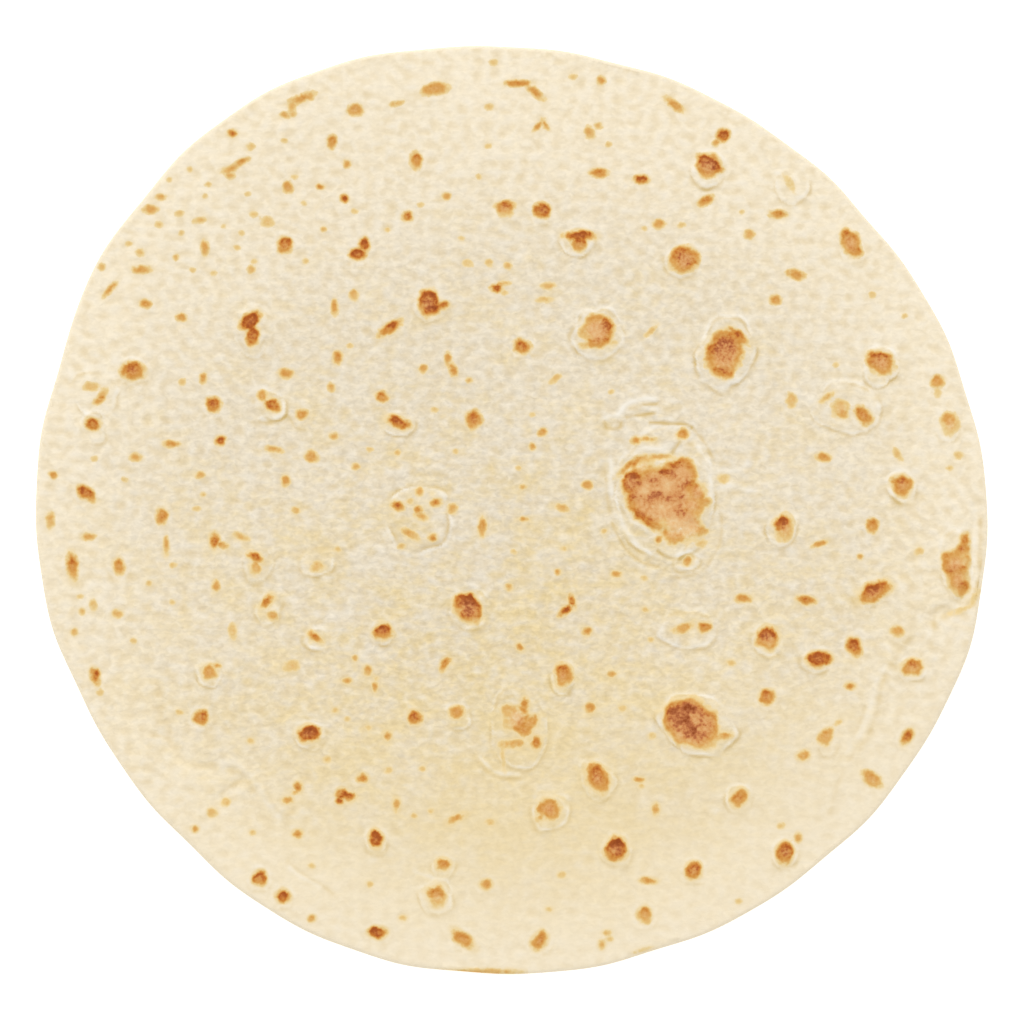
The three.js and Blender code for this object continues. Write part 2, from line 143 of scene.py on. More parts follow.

# Fine wrinkles of the skin: path in mm, strength (a pale ridge above 0, a tan fold below 0), and half width
# in mm. Each is real relief; its colour is a painted highlight on the ridge and a painted shade in the fold.
WRINKLES = [
    # Round the big blister.
    ([(31.5, 10.4), (33.8, 12.7), (36.5, 15), (40, 15.5), (46.5, 16), (47.7, 17.7),
      (49.6, 20.3)], -1.3, 0.55),
    ([(40.8, 25.9), (45.4, 25.7), (50.8, 25.4), (53.1, 24.6)], -1.4, 0.5),
    ([(53.1, 24.6), (55.4, 21.9), (57.7, 18.8), (59.8, 14)], -0.7, 0.5),
    ([(33.8, 27.7), (37.7, 28.1), (42.3, 28.8)], -1.2, 0.5),
    ([(38.8, 31.2), (42.7, 31.4)], -1.1, 0.5),
    ([(27.3, 26.2), (28.1, 24.6), (30, 24), (31.9, 24.6), (32.3, 25.8)], -1.1, 0.6),
    ([(54.6, -5), (53, -7.7), (51.5, -10.8), (50.4, -13), (48, -14.2), (45.4, -13.5),
      (43, -12)], -1.3, 0.5),
    ([(29.6, -3.8), (32.7, -10), (35.4, -13), (38.5, -15.4), (43, -16.5)], -0.9, 0.5),
    ([(27.7, 9.2), (28.2, 3), (29, -1)], -0.5, 0.5),
    ([(60.8, 1.5), (61.9, -3), (61.5, -9.2), (59.2, -13.8), (56.2, -17.7), (50.8, -19.6),
      (45.4, -20)], -0.5, 0.5),
    ([(33.5, 0.5), (36, -3), (40, -5.8), (42.6, -7.2)], 0.9, 0.7),
    ([(31.5, 28.5), (33.8, 31.2), (37.7, 32.7), (42.3, 32.9)], 1.2, 0.8),
    ([(36.5, 17.3), (40, 18.2), (45, 18.3)], 0.7, 0.9),
    ([(55, 19), (57.8, 13), (58.8, 8), (58.6, 3)], 0.8, 0.7),
    ([(29.2, 14.6), (29.4, 7.7), (30.6, 1.5), (32.5, -3.8), (36.5, -9.2), (40.8, -12.6)], 0.8, 0.7),
    ([(27.6, 27.3), (30.2, 28)], 1.0, 0.9),
    ([(59.5, 11), (62.5, 12.2), (66, 11.6), (69.5, 13.4)], 0.5, 0.8),
    ([(60.8, 6.5), (64.6, 7), (69.2, 6.2), (73.8, 5.4)], 0.5, 0.8),
    # Round the lower cluster and by the left blister.
    ([(-5, -57.8), (-2.8, -56), (0.2, -54.7)], -0.5, 0.5),
    ([(-9.5, -72.5), (-6.5, -75.8), (-3, -77.6), (2, -77.8)], 0.6, 0.6),
    ([(-9.8, -74.3), (-6.8, -77.4), (-3, -79), (2.5, -79)], -0.6, 0.55),
    ([(-74.5, 26.2), (-70.5, 25.9), (-66.7, 27.8), (-65.1, 26.7), (-64, 24.6), (-61.1, 23.7)], -0.6, 0.5),
    ([(-73.8, 27.2), (-70.3, 27.1), (-67.5, 28.8)], 0.6, 0.6),
    # Short folds at the lower left and left of the middle.
    ([(-66, -103.5), (-62, -107), (-57.5, -109.5), (-53, -112.8)], -0.4, 0.6),
    ([(-65.3, -105.5), (-61, -108.6), (-56.5, -111)], 0.4, 0.6),
    ([(-28.5, -106.4), (-24.5, -108), (-19, -109.2)], 0.45, 0.6),
    ([(-61.5, -12.5), (-57, -10.8), (-52, -11.6), (-47.5, -11)], -0.5, 0.6),
    # The curled right edge.
    ([(138.3, -3), (138, -15), (137.4, -24)], -0.8, 0.8),
    ([(138, -22), (136.7, -26), (134, -28.6), (130.5, -30), (127, -31.6)], -0.6, 1.0),
    ([(129.5, -28.3), (125.7, -28.6), (124.7, -32), (124.3, -36)], -0.5, 0.8),
    ([(136.5, 0), (136.2, -13), (135.7, -22)], 0.4, 0.8),
    ([(118.5, -36.5), (114.5, -41.3), (111.5, -46.2), (109.3, -51), (107.8, -59),
      (106, -64.4)], -0.35, 0.9),
    ([(106, -64.4), (103.6, -69), (99.3, -74.2), (96.5, -80), (93.8, -89)], -0.3, 0.9),
    ([(110.2, -46), (108, -50.5), (105.8, -57.5), (104.2, -62), (101.6, -67.3), (98.5, -71.5)], 0.35, 0.8),
    ([(104.4, -57.5), (102.6, -63.5), (100.6, -68.5)], -0.25, 0.7),
    ([(90.3, -70.5), (91.3, -72.3), (93.2, -73), (95.4, -72.2), (96.4, -70)], -0.5, 0.5),
    # The fold at the lower left.
    ([(-104, -52), (-103.4, -58), (-102, -65), (-100, -70), (-97, -73.5), (-92.5, -75),
      (-88.5, -75.6)], -0.3, 1.3),
    ([(-85.5, -74.4), (-82, -75), (-79, -76.3), (-77, -78.5), (-74.5, -81.5), (-72, -86),
      (-69, -90)], 0.35, 1.1),
    ([(-83.5, -76.6), (-80.5, -77.6), (-78.5, -79.4), (-76, -82.5)], -0.3, 0.8),
    ([(-80.3, -79.9), (-82.5, -81.3), (-85.6, -83.6)], -0.6, 0.7),
    ([(-69.5, -88), (-67, -89.8), (-64.5, -89)], -0.35, 0.7),
]

# How high a wrinkle of strength 1 stands in mm, and the share of it that its shoulders go the other way.
# The shoulders lie this many half widths out, and a line is worked out up to its margin, in half widths too.
WRINKLE_HEIGHT = 0.09
WRINKLE_SHOULDER = 0.15
SHOULDER_OUT = 2.2
LINE_MARGIN = 5

# Fine relief of the floury skin: the size of the curls and of the grain and how high each stands, in mm, and
# how far its height is painted into the colour, as painted highlight where it stands up and painted shade
# where it lies low. It sets in over this far from the rim in mm, and is drawn out across the bread, along
# the way it was rolled, by this factor.
CURL_SIZE = 5.5
CURL_HEIGHT = 0.05
CURL_PAINTED_LIGHT = 0.2
GRAIN_SIZE = 3.6
GRAIN_HEIGHT = 0.035
GRAIN_PAINTED_LIGHT = 0.15
SKIN_START = 4
ROLLED_OUT = 1.5

# The dough is duller round one place and paler towards the rim: places and distances in mm, and the shares
# of paleness all over and in the border.
DULL_MIDDLE = (-10, -25)
DULL_REACH = 70
PALE_MIDDLE = (0, -12)
PALE_NARROWING = 0.87
PALE_START = 78
PALE_END = 135
PALE_ALL_OVER = 0.3
PALE_BORDER = 0.7

# It is yellower towards the lower edge, most of all round one place there, and within small blisters: places
# and distances in mm, and the share of each.
YELLOW_START = 50
YELLOW_REACH = 160
YELLOW_MIDDLE = (8, -75)
YELLOW_SPREAD = 45
YELLOW_BELOW = 0.75
YELLOW_HUMP = 0.3
YELLOW_IN_BLISTERS = 0.25

# The skin is smoother towards the lower edge, leaning a little to the right: distances in mm, and the share
# of roughness lost. Its flour shows less where it is smooth or pale.
SMOOTH_START = 40
SMOOTH_END = 105
SMOOTH_LEAN = 0.15
SMOOTHED_SHARE = 0.5
FLOUR_AT_MOST = 1.4
FLOUR_LOST_WHERE_PALE = 0.7

# Toasted spots read off the bread: place, length and width in mm, turn in degrees, and brownness, 1 for dark
# brown.
SPOTS = [
    # Upper left.
    (-82.5, 111.2, 2.6, 2, 0, 0.9), (-79.7, 102.7, 3.8, 1.7, 30, 0.72), (-83.2, 100.5, 4.6, 1.8, 15, 0.6),
    (-82.9, 98.5, 2.4, 1.7, 0, 0.55), (-103.3, 92.3, 3, 1.6, 0, 0.52), (-106.5, 88.7, 4, 2.4, 0, 0.54),
    (-92, 85.6, 3, 1.5, 15, 0.5), (-90.5, 77.3, 4, 2.2, 90, 0.6), (-109.6, 76, 2.4, 2, 0, 0.48),
    (-99, 74.7, 1.5, 1.5, 0, 0.6), (-121, 72, 2, 2, 0, 0.5), (-61.7, 121.5, 7.2, 2.2, 18, 0.68),
    (-64.8, 119, 3.6, 2, 70, 0.55), (-66.8, 116.5, 2.8, 1.8, 0, 0.58), (-64.4, 116.8, 2, 1.6, 0, 0.45),
    (-46.2, 118, 4.5, 3.5, 0, 0.62), (-34, 120, 3.5, 1.3, 15, 0.6), (-22.8, 124.2, 7.5, 3.6, 12, 0.65),
    (-53, 108.7, 3.8, 3, 90, 0.72), (-48.7, 102.2, 2, 2, 0, 0.65), (-28.3, 103.2, 4.8, 3.2, 90, 0.75),
    (-66, 95.3, 3, 3, 0, 0.6), (-56.5, 95.6, 2.2, 1.6, 0, 0.85), (-49.3, 92.2, 2.2, 2.2, 0, 1),
    (-30.8, 86.7, 3.2, 2.8, 0, 0.9), (-19.2, 92.8, 2, 2, 0, 0.64), (-2, 88.9, 4.8, 4.8, 0, 0.52),
    (-2, 90, 5, 2.4, 0, 0.85), (-72, 85.2, 3.4, 2.8, 0, 0.36), (-55.5, 83, 1.5, 1.4, 0, 0.6),
    (-67, 78.2, 4.8, 4.5, 90, 0.9), (-45.5, 75.6, 4.5, 3.5, 0, 1), (-43.5, 78.4, 4, 3, 90, 1),
    (-13, 72.8, 2.5, 2.2, 0, 0.3), (-6.7, 73, 2, 2, 0, 0.42), (-1.3, 72, 2, 1.8, 0, 0.5),
    # Upper right.
    (1.8, 126, 6, 1.8, 0, 0.84), (7, 123.2, 6, 2, -38, 0.7), (26.5, 126.8, 2.4, 2.2, 90, 0.65),
    (48, 119.7, 6, 2.2, -38, 0.7), (8, 113.7, 3.4, 1.2, 47, 0.76), (9.9, 113.9, 3, 1.2, -56, 0.72),
    (23, 111.5, 3.6, 3, 90, 0.5), (25.5, 113.5, 2, 1.6, 0, 0.55), (62.4, 110.7, 4, 3.4, 45, 1),
    (60.2, 108.4, 2, 1.4, 45, 0.6), (25.7, 99.5, 5, 2.4, 0, 0.75), (38.2, 97.6, 4, 2.8, 0, 0.98),
    (58.2, 101.6, 8, 6.8, -30, 0.68), (57, 103, 5.2, 2.6, -35, 0.94), (60.8, 101, 3, 2, -50, 1),
    (56.5, 100, 2.2, 2, 0, 0.72), (57.3, 91.4, 4.4, 2.6, 25, 0.7), (9, 88.5, 5, 4.4, 0, 0.95),
    (20, 81, 8, 3, 0, 1), (20, 78.6, 4, 4, 0, 0.7), (43.5, 84.3, 3.6, 2.4, 0, 0.62),
    (70, 81.4, 3, 2.4, 0, 0.55), (51, 74, 8.5, 8, 0, 0.72), (50, 75.6, 4.6, 3, 15, 0.87),
    (53, 72.6, 2.4, 2, 0, 0.85), (82, 96.3, 5, 2, -60, 0.24), (78.5, 87.5, 4.4, 2.2, 0, 0.8),
    (100, 78.8, 9.2, 5.6, -63, 0.6), (99.2, 80.6, 4.5, 3, -60, 0.78), (101.3, 76.5, 2.4, 2, 0, 0.8),
    (84, 69.6, 5, 2.6, -10, 0.7),
    # Left, above the middle.
    (-109, 71, 5, 2.2, 0, 0.7), (-118.5, 65.1, 4.4, 1.6, 50, 0.78), (-108, 60.9, 3, 2.4, 0, 0.7),
    (-97.4, 57, 2.6, 2.4, 0, 0.65), (-77, 56, 7, 4.2, 40, 1), (-76.5, 51.8, 6, 3.6, 90, 0.96),
    (-111.7, 41.2, 7, 5, 0, 0.85), (-124, 36.4, 4.4, 2.4, 0, 0.42), (-120.6, 34, 4, 2, 65, 0.45),
    (-121.8, 32.2, 2.6, 1.6, 30, 0.7), (-123.4, 25.6, 4.4, 3.2, 0, 0.95), (-91, 39, 2.6, 2.2, 90, 0.65),
    (-88, 31.2, 4.4, 4, 90, 0.9), (-100.5, 19.6, 4, 1.8, 0, 0.7), (-111, 15.7, 3, 1.8, 0, 0.65),
    (-86, 20.6, 3, 3, 0, 0.98), (-135.3, 10.5, 2.2, 2, 0, 0.65), (-125.5, 5, 6, 3.4, -40, 0.87),
    (-92, 10.3, 2.4, 1.8, 0, 0.6), (-73.5, 33.8, 3, 3, 0, 0.6), (-70.5, 31, 4.5, 3.2, -30, 0.9),
    (-77, 71, 2, 2, 0, 0.5), (-46.5, 63.4, 2.8, 2.4, 90, 0.5), (-52.2, 59.8, 4, 2, 90, 0.65),
    (-36, 53.8, 7, 3, 35, 0.92), (-24.5, 61, 8, 6.2, 100, 0.75), (-25, 62.6, 5, 3.2, 20, 0.95),
    (-23.5, 59, 3.2, 2.6, 0, 1), (-20.3, 60.6, 3.4, 2.4, 0, 0.96), (-4.5, 65.6, 3.2, 2.2, 0, 1),
    (-2, 67, 3, 1.2, 0, 0.5), (-51.3, 45, 3.4, 2.6, 90, 0.74), (-66.6, 40.4, 4, 2.4, 0, 0.7),
    (-53.3, 36.2, 2.4, 2, 90, 0.5), (-38.3, 33.5, 3.2, 3, 0, 0.8), (-33.3, 26, 7, 3.2, -20, 0.92),
    (-26, 42, 2.4, 2.2, 90, 0.65), (-18.8, 44.8, 3.4, 1.8, 90, 0.65), (-17.2, 41.2, 3.6, 2, 100, 0.76),
    (-12.6, 38.5, 1.6, 1.6, 0, 0.5), (-11.2, 26.8, 5, 4.4, 75, 0.72), (-11.6, 27.4, 2.6, 2.2, 60, 0.84),
    (-62, 28.4, 3, 2.8, 0, 0.75), (-52.6, 22, 2.4, 1.8, 0, 0.6), (-59, 15.8, 3.8, 3.4, 0, 0.62),
    (-70, 18, 4, 1.6, -12, 0.6), (-66.8, 8.7, 2.8, 2.6, 90, 0.7), (-46, 13, 2, 1.6, 0, 0.6),
    (-33.8, 17.2, 1.6, 1.6, 0, 0.5), (-63.8, 0, 2, 1.8, 0, 0.5),
    # The cluster in the blister left of the middle.
    (-27.3, 5.5, 2.2, 2, 90, 0.6), (-33.7, 1.4, 3.6, 2.8, -20, 0.8), (-22.3, 2.3, 3, 2.4, 0, 0.75),
    (-27.5, 0.2, 2, 1.8, 0, 0.8), (-17.5, 0.6, 2.6, 2.2, 90, 0.6), (-26.5, -2, 3.4, 1.8, -15, 0.62),
    (-30, -7, 5, 2, -32, 0.55), (-23.2, -8, 2.4, 2.2, 0, 0.82), (-8.7, -4.7, 5, 2.2, 90, 0.7),
    # Middle and right, above the middle.
    (10.8, 66.2, 3.6, 1.8, 0, 0.5), (9.6, 62.2, 4, 1.6, 0, 0.45), (25.3, 53, 10, 9.5, 0, 0.5),
    (28.4, 53, 7, 3, 90, 0.85), (25.2, 49.2, 8, 2.2, 5, 0.74), (24, 56.5, 4, 2.2, 20, 0.7),
    (3, 48.4, 5, 4, 0, 0.85), (41, 52.8, 4, 1.2, 45, 0.45), (12.8, 38.8, 3, 1.4, 35, 0.45),
    (62.8, 46.3, 14.5, 10.5, 78, 0.68), (66.6, 51.6, 6.5, 2.6, -38, 0.86), (62.6, 47.6, 6, 5, 60, 0.92),
    (62.3, 40.4, 4.5, 2.4, -20, 0.8), (58.8, 46.8, 3.8, 2.4, 60, 0.88), (36.7, 20.6, 2.6, 2.2, 0, 0.72),
    (40, 21, 4, 1.2, 0, 0.66), (50.3, 22.5, 3.2, 3, 0, 0.72), (62.5, 9.5, 3, 2.4, 0, 0.35),
    (22.3, 7.5, 2.6, 2.2, 0, 0.65), (15, 0.7, 3.5, 2, -15, 0.5), (9, 23, 2.4, 2.2, 0, 0.65),
    (6.1, 18.9, 2, 1.8, 90, 0.65), (3.3, 7, 1.8, 1.2, 0, 0.6), (77.6, 62.2, 3.2, 2.6, 0, 0.65),
    (108.8, 43.6, 8, 6.6, -25, 0.74), (108.2, 45.3, 6.5, 3.2, -12, 0.88), (125.5, 38, 3.8, 3.6, 0, 0.7),
    (125.5, 34.4, 2.6, 2, 90, 0.25), (129.3, 25.5, 6.5, 5.4, 90, 0.34), (128.8, 27, 2.6, 2.4, 0, 0.65),
    (82.5, 32.5, 4, 3.2, 90, 0.45), (93, 33.4, 4, 1.6, 35, 0.54), (97, 30, 5, 5, 0, 0.34),
    (97.8, 28, 2.4, 1.8, 0, 0.5), (103.8, 28, 6, 4.2, -50, 0.78), (92, 15.7, 3.8, 2.6, 0, 0.7),
    (113.7, 16.7, 3.6, 1.8, -55, 0.4), (131.7, 16.2, 2.6, 2, 0, 0.38), (115, 7.5, 6.4, 5.6, 100, 0.76),
    (114.4, 8.5, 3.4, 2.4, 30, 0.84),
    # The big blister's toasted floor.
    (44, 4, 21, 17.5, -10, 0.62), (49.5, 10, 10, 11, 0, 0.64), (35.5, 8, 7, 7.5, 0, 0.64),
    (53, 1.5, 8, 7, 30, 0.5), (50, -3.5, 15, 11, -35, 0.18), (54.5, 5, 6, 7, 0, 0.22),
    (38.5, 13, 8, 5, 40, 0.2), (47.5, -6.5, 6, 6, 0, 0.1), (35.3, 8.2, 5.4, 5.2, 90, 0.93),
    (50.3, 13.6, 6.5, 2.6, -12, 0.72), (48, 12.6, 3.5, 2.6, 90, 0.8), (46.3, 10.6, 3.6, 1.6, -28, 0.94),
    (53, 7, 3.4, 2.8, 90, 0.8), (49.3, 6.2, 4, 2.6, 0, 0.8), (42.3, 4.2, 3.4, 2.4, 20, 0.97),
    (41.8, 8.6, 2.6, 2, 0, 0.84), (48.6, 3, 6, 1.6, 0, 0.86), (49.9, -0.8, 2.8, 2.8, 0, 0.9),
    (37.5, 2, 6, 5, -30, 0.74), (39.8, -3.2, 9.5, 2.4, -33, 0.86), (56.9, 2.6, 3.2, 2.8, 0, 0.62),
    (55, -0.3, 3.2, 2.2, 20, 0.55), (53.4, -3.8, 2.6, 2.2, 0, 0.5), (47.9, -8.7, 4, 2.6, 25, 0.58),
    (43.2, -8.6, 1.8, 1.8, 0, 0.72), (56.4, -6.2, 2.6, 1.8, 0, 0.62), (55.8, -9.8, 3, 1.4, 15, 0.36),
    (51.8, -15, 3, 2.4, 50, 0.62), (34.2, 12.9, 6.5, 1.5, 42, 0.74), (38, 15.4, 4, 1.3, 15, 0.45),
    (43, 15.8, 8, 1.3, 0, 0.58),
    # Left, below the middle.
    (-136.2, -3, 4, 2.4, 90, 0.52), (-125, -7.6, 3.4, 2, 0, 0.65), (-103.3, -1.6, 4.4, 3.6, 90, 0.72),
    (-102, -10.5, 4.5, 1.5, 90, 0.6), (-129.6, -16.5, 7.5, 3, 95, 0.78),
    (-116, -16.5, 4.4, 3.4, 90, 0.75), (-123.4, -28, 3, 1.8, 90, 0.36),
    (-126.6, -29.8, 1.8, 1.8, 0, 0.46), (-116.3, -30.5, 2.8, 2.2, 0, 0.5), (-129, -36, 2, 1.6, 90, 0.5),
    (-87.7, -9, 4.6, 2.6, 90, 0.86), (-85.6, -10.2, 3, 1.6, -10, 0.65), (-80, -7.7, 4.4, 1.8, -20, 0.5),
    (-75.5, -13.8, 4.6, 2.2, -30, 0.88), (-75.5, -17, 3.5, 3, 90, 0.5), (-87.3, -22.4, 3, 2.2, 90, 0.62),
    (-72.2, -26.8, 4.4, 2, 50, 0.88), (-70.5, -31, 3, 2.6, 0, 0.55), (-82.3, -35.8, 4, 2.4, 90, 0.36),
    (-122.8, -49, 4.6, 2.6, 100, 0.88), (-89.3, -47.7, 4.2, 4, 0, 0.65), (-87, -45.8, 2, 1.2, 0, 0.7),
    (-91.6, -61, 4.4, 4.2, 90, 0.85), (-57.5, -16.5, 3.6, 2.8, 0, 0.42), (-58, -37.3, 4.2, 2, -35, 0.85),
    (-38, -36, 5.5, 4.4, 0, 0.74), (-38, -34.9, 3.6, 2.4, 0, 1), (-12.8, -29, 9, 8, -45, 0.5),
    (-14.5, -26.2, 5, 3.4, 10, 1), (-11, -28.4, 5, 3, -50, 0.95), (-13, -30.5, 3, 2.4, 0, 0.92),
    (-19.7, -45.2, 4, 2.6, 55, 0.82), (-65, -46, 4.4, 3, 0, 0.36), (-46.3, -43.5, 1.6, 1.5, 0, 0.6),
    (-42.6, -47.4, 2.8, 2.4, 90, 0.65), (-48.6, -50.3, 2.4, 1.6, 0, 0.65),
    (-40.3, -52, 2.4, 1.8, 90, 0.65), (-60, -65.8, 6.4, 5, 0, 1), (-28.7, -61.2, 4.2, 4, 90, 0.85),
    (-36.8, -66.5, 2.4, 2.2, 0, 0.7), (-16.3, -59.5, 4, 3.6, 0, 0.68), (-0.8, -22.7, 1.8, 1.8, 0, 0.5),
    # Middle and right, below the middle.
    (3.5, -2.6, 2.4, 1.2, 0, 0.6), (13.7, -18.3, 1.5, 1.4, 0, 0.72), (30.8, -18.8, 2.4, 1.6, 0, 0.65),
    (15.9, -29.6, 4.4, 2.1, 33, 1), (17.8, -26.8, 3.6, 1.7, 105, 0.8), (22.2, -35.8, 2.4, 2.2, 0, 0.7),
    (2.4, -40.3, 2.4, 2.2, 0, 0.7), (50.6, -34.8, 5, 2.2, 15, 0.6), (56.8, -34.4, 3.6, 2.8, 0, 0.82),
    (68.3, -26, 4.2, 2.4, 0, 0.72), (15.2, -48.4, 6.4, 5, 90, 0.72), (15, -47, 2.8, 2.2, 0, 0.88),
    (29.5, -48.3, 2.2, 1.6, 0, 0.6), (23, -58.4, 2.8, 2.4, 90, 0.65), (96.2, -62.7, 1.8, 1.1, 40, 0.4),
    (80.5, -5, 7.8, 5.2, 85, 0.48), (78.9, -3.7, 3.8, 2.8, 15, 1), (106.3, -4.7, 4, 3.2, 90, 0.72),
    (90.5, -10, 4, 1.4, 20, 0.68), (102.7, -13.7, 1.6, 1.6, 0, 0.6), (120, -12.2, 2.6, 2, 30, 0.38),
    (107, -24, 10, 5.4, 25, 0.82), (105.5, -23.6, 5, 3, 25, 0.95), (87, -26.5, 5, 2.6, -10, 0.84),
    (75.5, -37.8, 7, 6.5, 0, 0.68), (75.5, -36.2, 5, 3, 0, 1), (90.6, -43.8, 7.2, 4.2, 8, 1),
    (101, -40.2, 5.6, 4, -60, 0.88), (113.8, -35.8, 3.4, 2.6, 0, 0.6), (118, -46.3, 6.4, 4.6, 10, 0.7),
    (117.6, -45.2, 5, 2, 15, 0.82), (100, -51.8, 2.8, 2, 0, 0.78), (75.3, -55, 4.8, 4.2, 40, 0.85),
    (92.7, -66.7, 4.8, 3.6, 60, 0.6), (116.5, -66.8, 4.4, 2.8, 60, 0.88), (86, -72.3, 3.5, 3, 0, 0.6),
    # The wide spot below the middle, at the right.
    (52.6, -62.6, 15, 11, -28, 0.73), (52.8, -62.6, 18, 14.5, -35, 0.22), (56.8, -68.2, 6, 4, -20, 0.45),
    (49.8, -59.4, 6.5, 3.2, 15, 1.05), (55.5, -60.6, 5.5, 3.2, -45, 0.8), (50.6, -63, 4.4, 3.4, 0, 1.05),
    (56.5, -64.5, 4, 3, -30, 0.85), (53.5, -66, 4.5, 2.4, -15, 1), (62.8, -66.4, 4, 2, 0, 0.68),
    # The lower cluster.
    (3.9, -57, 3.2, 1.9, 90, 0.88), (5.2, -62.6, 5, 3.6, 25, 0.62), (3.6, -64.6, 4.4, 3.6, -10, 0.72),
    (6.8, -60.7, 1.3, 1.2, 0, 0.8), (7.2, -68.8, 3.7, 2.8, 75, 0.8), (-2.6, -73.4, 5.4, 1.1, -83, 0.26),
    (1.4, -68.8, 4.4, 2.3, 5, 0.55), (-1.2, -58.7, 3.2, 3, 0, 0.5), (-2.2, -69.2, 3.6, 2.3, 0, 0.34),
    (1.4, -61.6, 8.4, 7.2, 30, 0.24),
    # The spot and the golden fold at the right edge.
    (136.6, -25.4, 5, 1.6, 62, 0.3), (132, -29.4, 7, 1.3, 20, 0.22), (130.8, -15.6, 8.4, 7.4, 20, 0.45),
    (131.4, -20.6, 9.4, 6, 108, 0.44), (133.5, -8.6, 3.8, 2.8, 80, 0.82),
    (134.3, -11.6, 2.8, 1.3, 90, 0.76), (131, -12.4, 4.6, 1.7, 45, 0.72),
    (127.6, -14.2, 2.4, 1.7, 90, 0.74), (128, -16.8, 3.6, 1.4, -80, 0.66),
    (131, -17.8, 4.2, 2.4, 5, 0.74), (129, -19, 2.6, 1.3, -50, 0.66), (131.3, -21.8, 3.6, 2.2, -50, 0.64),
    (133.2, -23.1, 3.2, 2, 75, 0.76), (132.9, -11.4, 6.5, 3.6, 80, 0.36),
    # Lower left.
    (-88.3, -89, 2.8, 2.2, 0, 0.5), (-84.3, -86, 2.4, 2, 40, 0.4), (-93.4, -94, 1.8, 1.8, 0, 0.72),
    (-74.3, -108.4, 4.2, 4, 90, 0.9), (-44, -79, 2.8, 2.2, 0, 0.78), (-63, -81.5, 3, 2.4, 90, 0.78),
    (-66, -85.6, 2.6, 1.6, 0, 0.65), (-50.3, -83.6, 3.2, 3, 0, 0.74), (-48, -84.4, 3.6, 2.4, 0, 0.9),
    (-50.7, -85.9, 2, 1.8, 0, 0.95), (-34, -86.7, 3.6, 2, 90, 0.6), (-63.2, -95.3, 2.4, 2, 0, 0.78),
    (-40.2, -97, 5.2, 3.8, 90, 1), (-16.5, -91, 5, 1.8, 25, 0.6), (-20.2, -104.4, 4, 3.4, 0, 0.72),
    (-67.5, -113.8, 4, 3.6, 0, 0.98), (-59, -120.2, 2, 1.8, 0, 0.65), (-22.1, -114, 6, 4.8, 90, 0.44),
    (-22.6, -112.4, 4, 2.6, 0, 0.8), (-7.5, -110.3, 3, 2.8, 0, 0.68), (-39.7, -124.5, 5, 3.2, 0, 1),
    (-14.3, -126.5, 7, 3.6, -40, 0.75), (-9, -136.2, 18, 1.6, 0, 0.5), (-0.8, -136, 1.6, 1, 0, 0.85),
    # Lower right.
    (25.3, -79, 8.6, 6, 115, 0.8), (24.6, -77.5, 4, 3, 115, 0.8), (11, -88, 6.6, 6.2, 45, 0.7),
    (30.8, -100, 7, 6.2, 90, 0.92), (30.6, -99, 4, 3.2, 0, 1), (37.5, -79.5, 2.4, 1.4, 0, 0.65),
    (42.5, -88, 2.8, 1.8, 90, 0.66), (67, -84.8, 5.4, 4, 60, 0.78), (53.7, -106.3, 5, 4.8, 90, 0.84),
    (40.3, -109.2, 3.8, 1.6, 0, 0.68), (39.2, -119.3, 4.6, 4, 90, 0.58), (39.2, -118.1, 3, 1.8, 0, 0.75),
    (8.2, -127, 5.6, 4.2, 60, 0.77), (26.5, -128.2, 2.4, 2, 90, 0.5), (28, -124.6, 2, 1.4, 0, 0.46),
    (106.3, -79.3, 6.4, 3.6, -35, 0.6), (80.5, -101, 6, 5, 90, 0.88), (84.5, -96.5, 2.4, 1.8, 90, 0.6),
    (38.5, -129.6, 5, 1.2, 15, 0.25),
]

